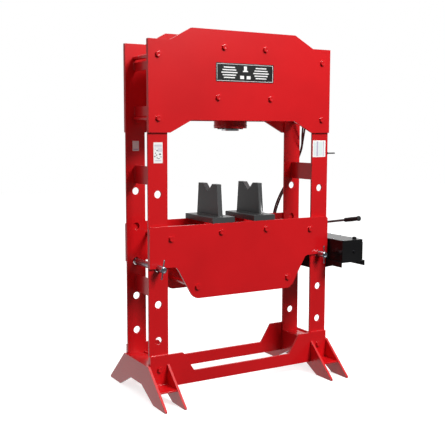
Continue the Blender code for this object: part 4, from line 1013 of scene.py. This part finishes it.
def add_labels():
    """Three generic labels, with bars, columns and squares in place of words and pictograms."""
    front = corners("upright_front_left")[0][1]
    rear = corners("upright_rear_left")[0][1]
    pale = [(0.0, 0.0400, 0.044, 0.0050), (0.0, 0.0315, 0.044, 0.0040)]
    pale += [(0.0010 + 0.0070 * k, 0.0150, 0.0035, 0.0210) for k in range(4)]
    pale += [(-0.0160, 0.0200, 0.0100, 0.0040), (0.0, -0.0420, 0.036, 0.0035)]
    dark = [(-0.0060, 0.0120, 0.0080, 0.0055), (-0.0150, -0.0020, 0.0060, 0.0050)]
    dark += [(0.0110, -0.0080, 0.0110, 0.0080), (-0.0090, -0.0120, 0.0070, 0.0060)]
    dark += [(-0.0190, -0.0200, 0.0070, 0.0060), (0.0160, -0.0220, 0.0110, 0.0030)]
    dark += [(-0.0060, -0.0270, 0.0050, 0.0050), (0.0040, -0.0310, 0.0120, 0.0030)]
    place = (RAM_X - 0.5365, front, 1.3525)
    prints = (("label_lilac", pale), ("label_ink", dark))
    add_label("label_front_left", place, 0.054, 0.111, "label_white", prints)
    place = (RAM_X - 0.5370, rear, 1.3840)
    prints = (("label_lilac", [(0, -0.019, 0.033, 0.007)]),)
    add_label("label_rear_left", place, 0.039, 0.056, "label_white", prints)
    stripes = [(-0.0130, 0.0, 0.0130, 0.088), (0.0320, 0.0, 0.0060, 0.088)]
    panel = [(-0.0320, 0.0, 0.0160, 0.080), (0.0110, 0.0, 0.0260, 0.080)]
    front = corners("upright_front_right")[0][1]
    place = (RAM_X + 0.5325, front, 1.3645)
    prints = (("label_lilac", stripes), ("label_mint", panel))
    add_label("label_front_right", place, 0.094, 0.099, "label_white", prints)


add_peg()
add_base_bolts()
add_badge()
add_labels()

# ---------------------------------------------------------------- studio


def add_studio():
    """A white room to the eye, lit by a bright band behind and above the press, with white paper under it."""
    world = bpy.data.worlds.new("studio")
    bpy.context.scene.world = world
    world.use_nodes = True
    tree = world.node_tree
    background = tree.nodes["Background"]
    seen = add(tree, "ShaderNodeLightPath", {}).outputs["Is Camera Ray"]
    heading = add(tree, "ShaderNodeTexCoord", {}).outputs["Generated"]
    parts = add(tree, "ShaderNodeSeparateXYZ", {"Vector": heading})
    behind = add(tree, "ShaderNodeMapRange", {
        "Value": parts.outputs["Y"], "From Min": -0.1, "From Max": 0.5, "To Min": 0.10, "To Max": 0.95,
    }, interpolation_type="SMOOTHSTEP").outputs["Result"]
    above = add(tree, "ShaderNodeMapRange", {
        "Value": parts.outputs["Z"], "From Min": 0.3, "From Max": 0.9, "To Min": 0.0, "To Max": 0.75,
    }, interpolation_type="SMOOTHSTEP").outputs["Result"]
    rightward = add(tree, "ShaderNodeMapRange", {
        "Value": parts.outputs["X"], "From Min": -0.3, "From Max": 0.2, "To Min": 0.3, "To Max": 1.0,
    }).outputs["Result"]
    downward = add(tree, "ShaderNodeMapRange", {
        "Value": parts.outputs["Z"], "From Min": -0.05, "From Max": -0.3, "To Min": 0.3, "To Max": 1.0,
    }).outputs["Result"]
    share = add(tree, "ShaderNodeMath", {0: rightward, 1: downward}, operation="MAXIMUM").outputs["Value"]
    behind = add(tree, "ShaderNodeMath", {0: behind, 1: share}, operation="MULTIPLY").outputs["Value"]
    room = add(tree, "ShaderNodeMath", {0: behind, 1: above}, operation="MAXIMUM").outputs["Value"]
    shade = add(tree, "ShaderNodeMix", {
        "Factor": seen, "A": room, "B": (1.0, 1.0, 1.0, 1.0),
    }, data_type="RGBA")
    tree.links.new(shade.outputs["Result"], background.inputs["Color"])
    bpy.context.scene.view_settings.view_transform = "Standard"

    mesh = bpy.data.meshes.new("floor")
    mesh.from_pydata([(-14, -14, 0), (14, -14, 0), (14, 14, 0), (-14, 14, 0)], [], [(0, 1, 2, 3)])
    paper, _, shader, _ = new_material("white_backdrop_paper")
    shader.inputs["Base Color"].default_value = (0.60, 0.60, 0.60, 1.0)
    shader.inputs["Roughness"].default_value = 0.9
    shader.inputs["Specular IOR Level"].default_value = 0.1
    shader.inputs["Emission Color"].default_value = (1.0, 1.0, 1.0, 1.0)
    shader.inputs["Emission Strength"].default_value = 0.74
    mesh.materials.append(paper)
    floor = bpy.data.objects.new("floor", mesh)
    bpy.context.scene.collection.objects.link(floor)
    floor.visible_glossy = False
    floor.visible_diffuse = False
    add_light("key", (2.0, -5.5, 5.2), (0, 0, 1.0), 2.4, 525)
    add_light("side", (-5.0, -1.0, 2.6), (0, 0, 0.9), 2.5, 12)
    add_light("top", (0, 0.4, 5.5), (0, 0, 0), 5.0, 110)


add_studio()
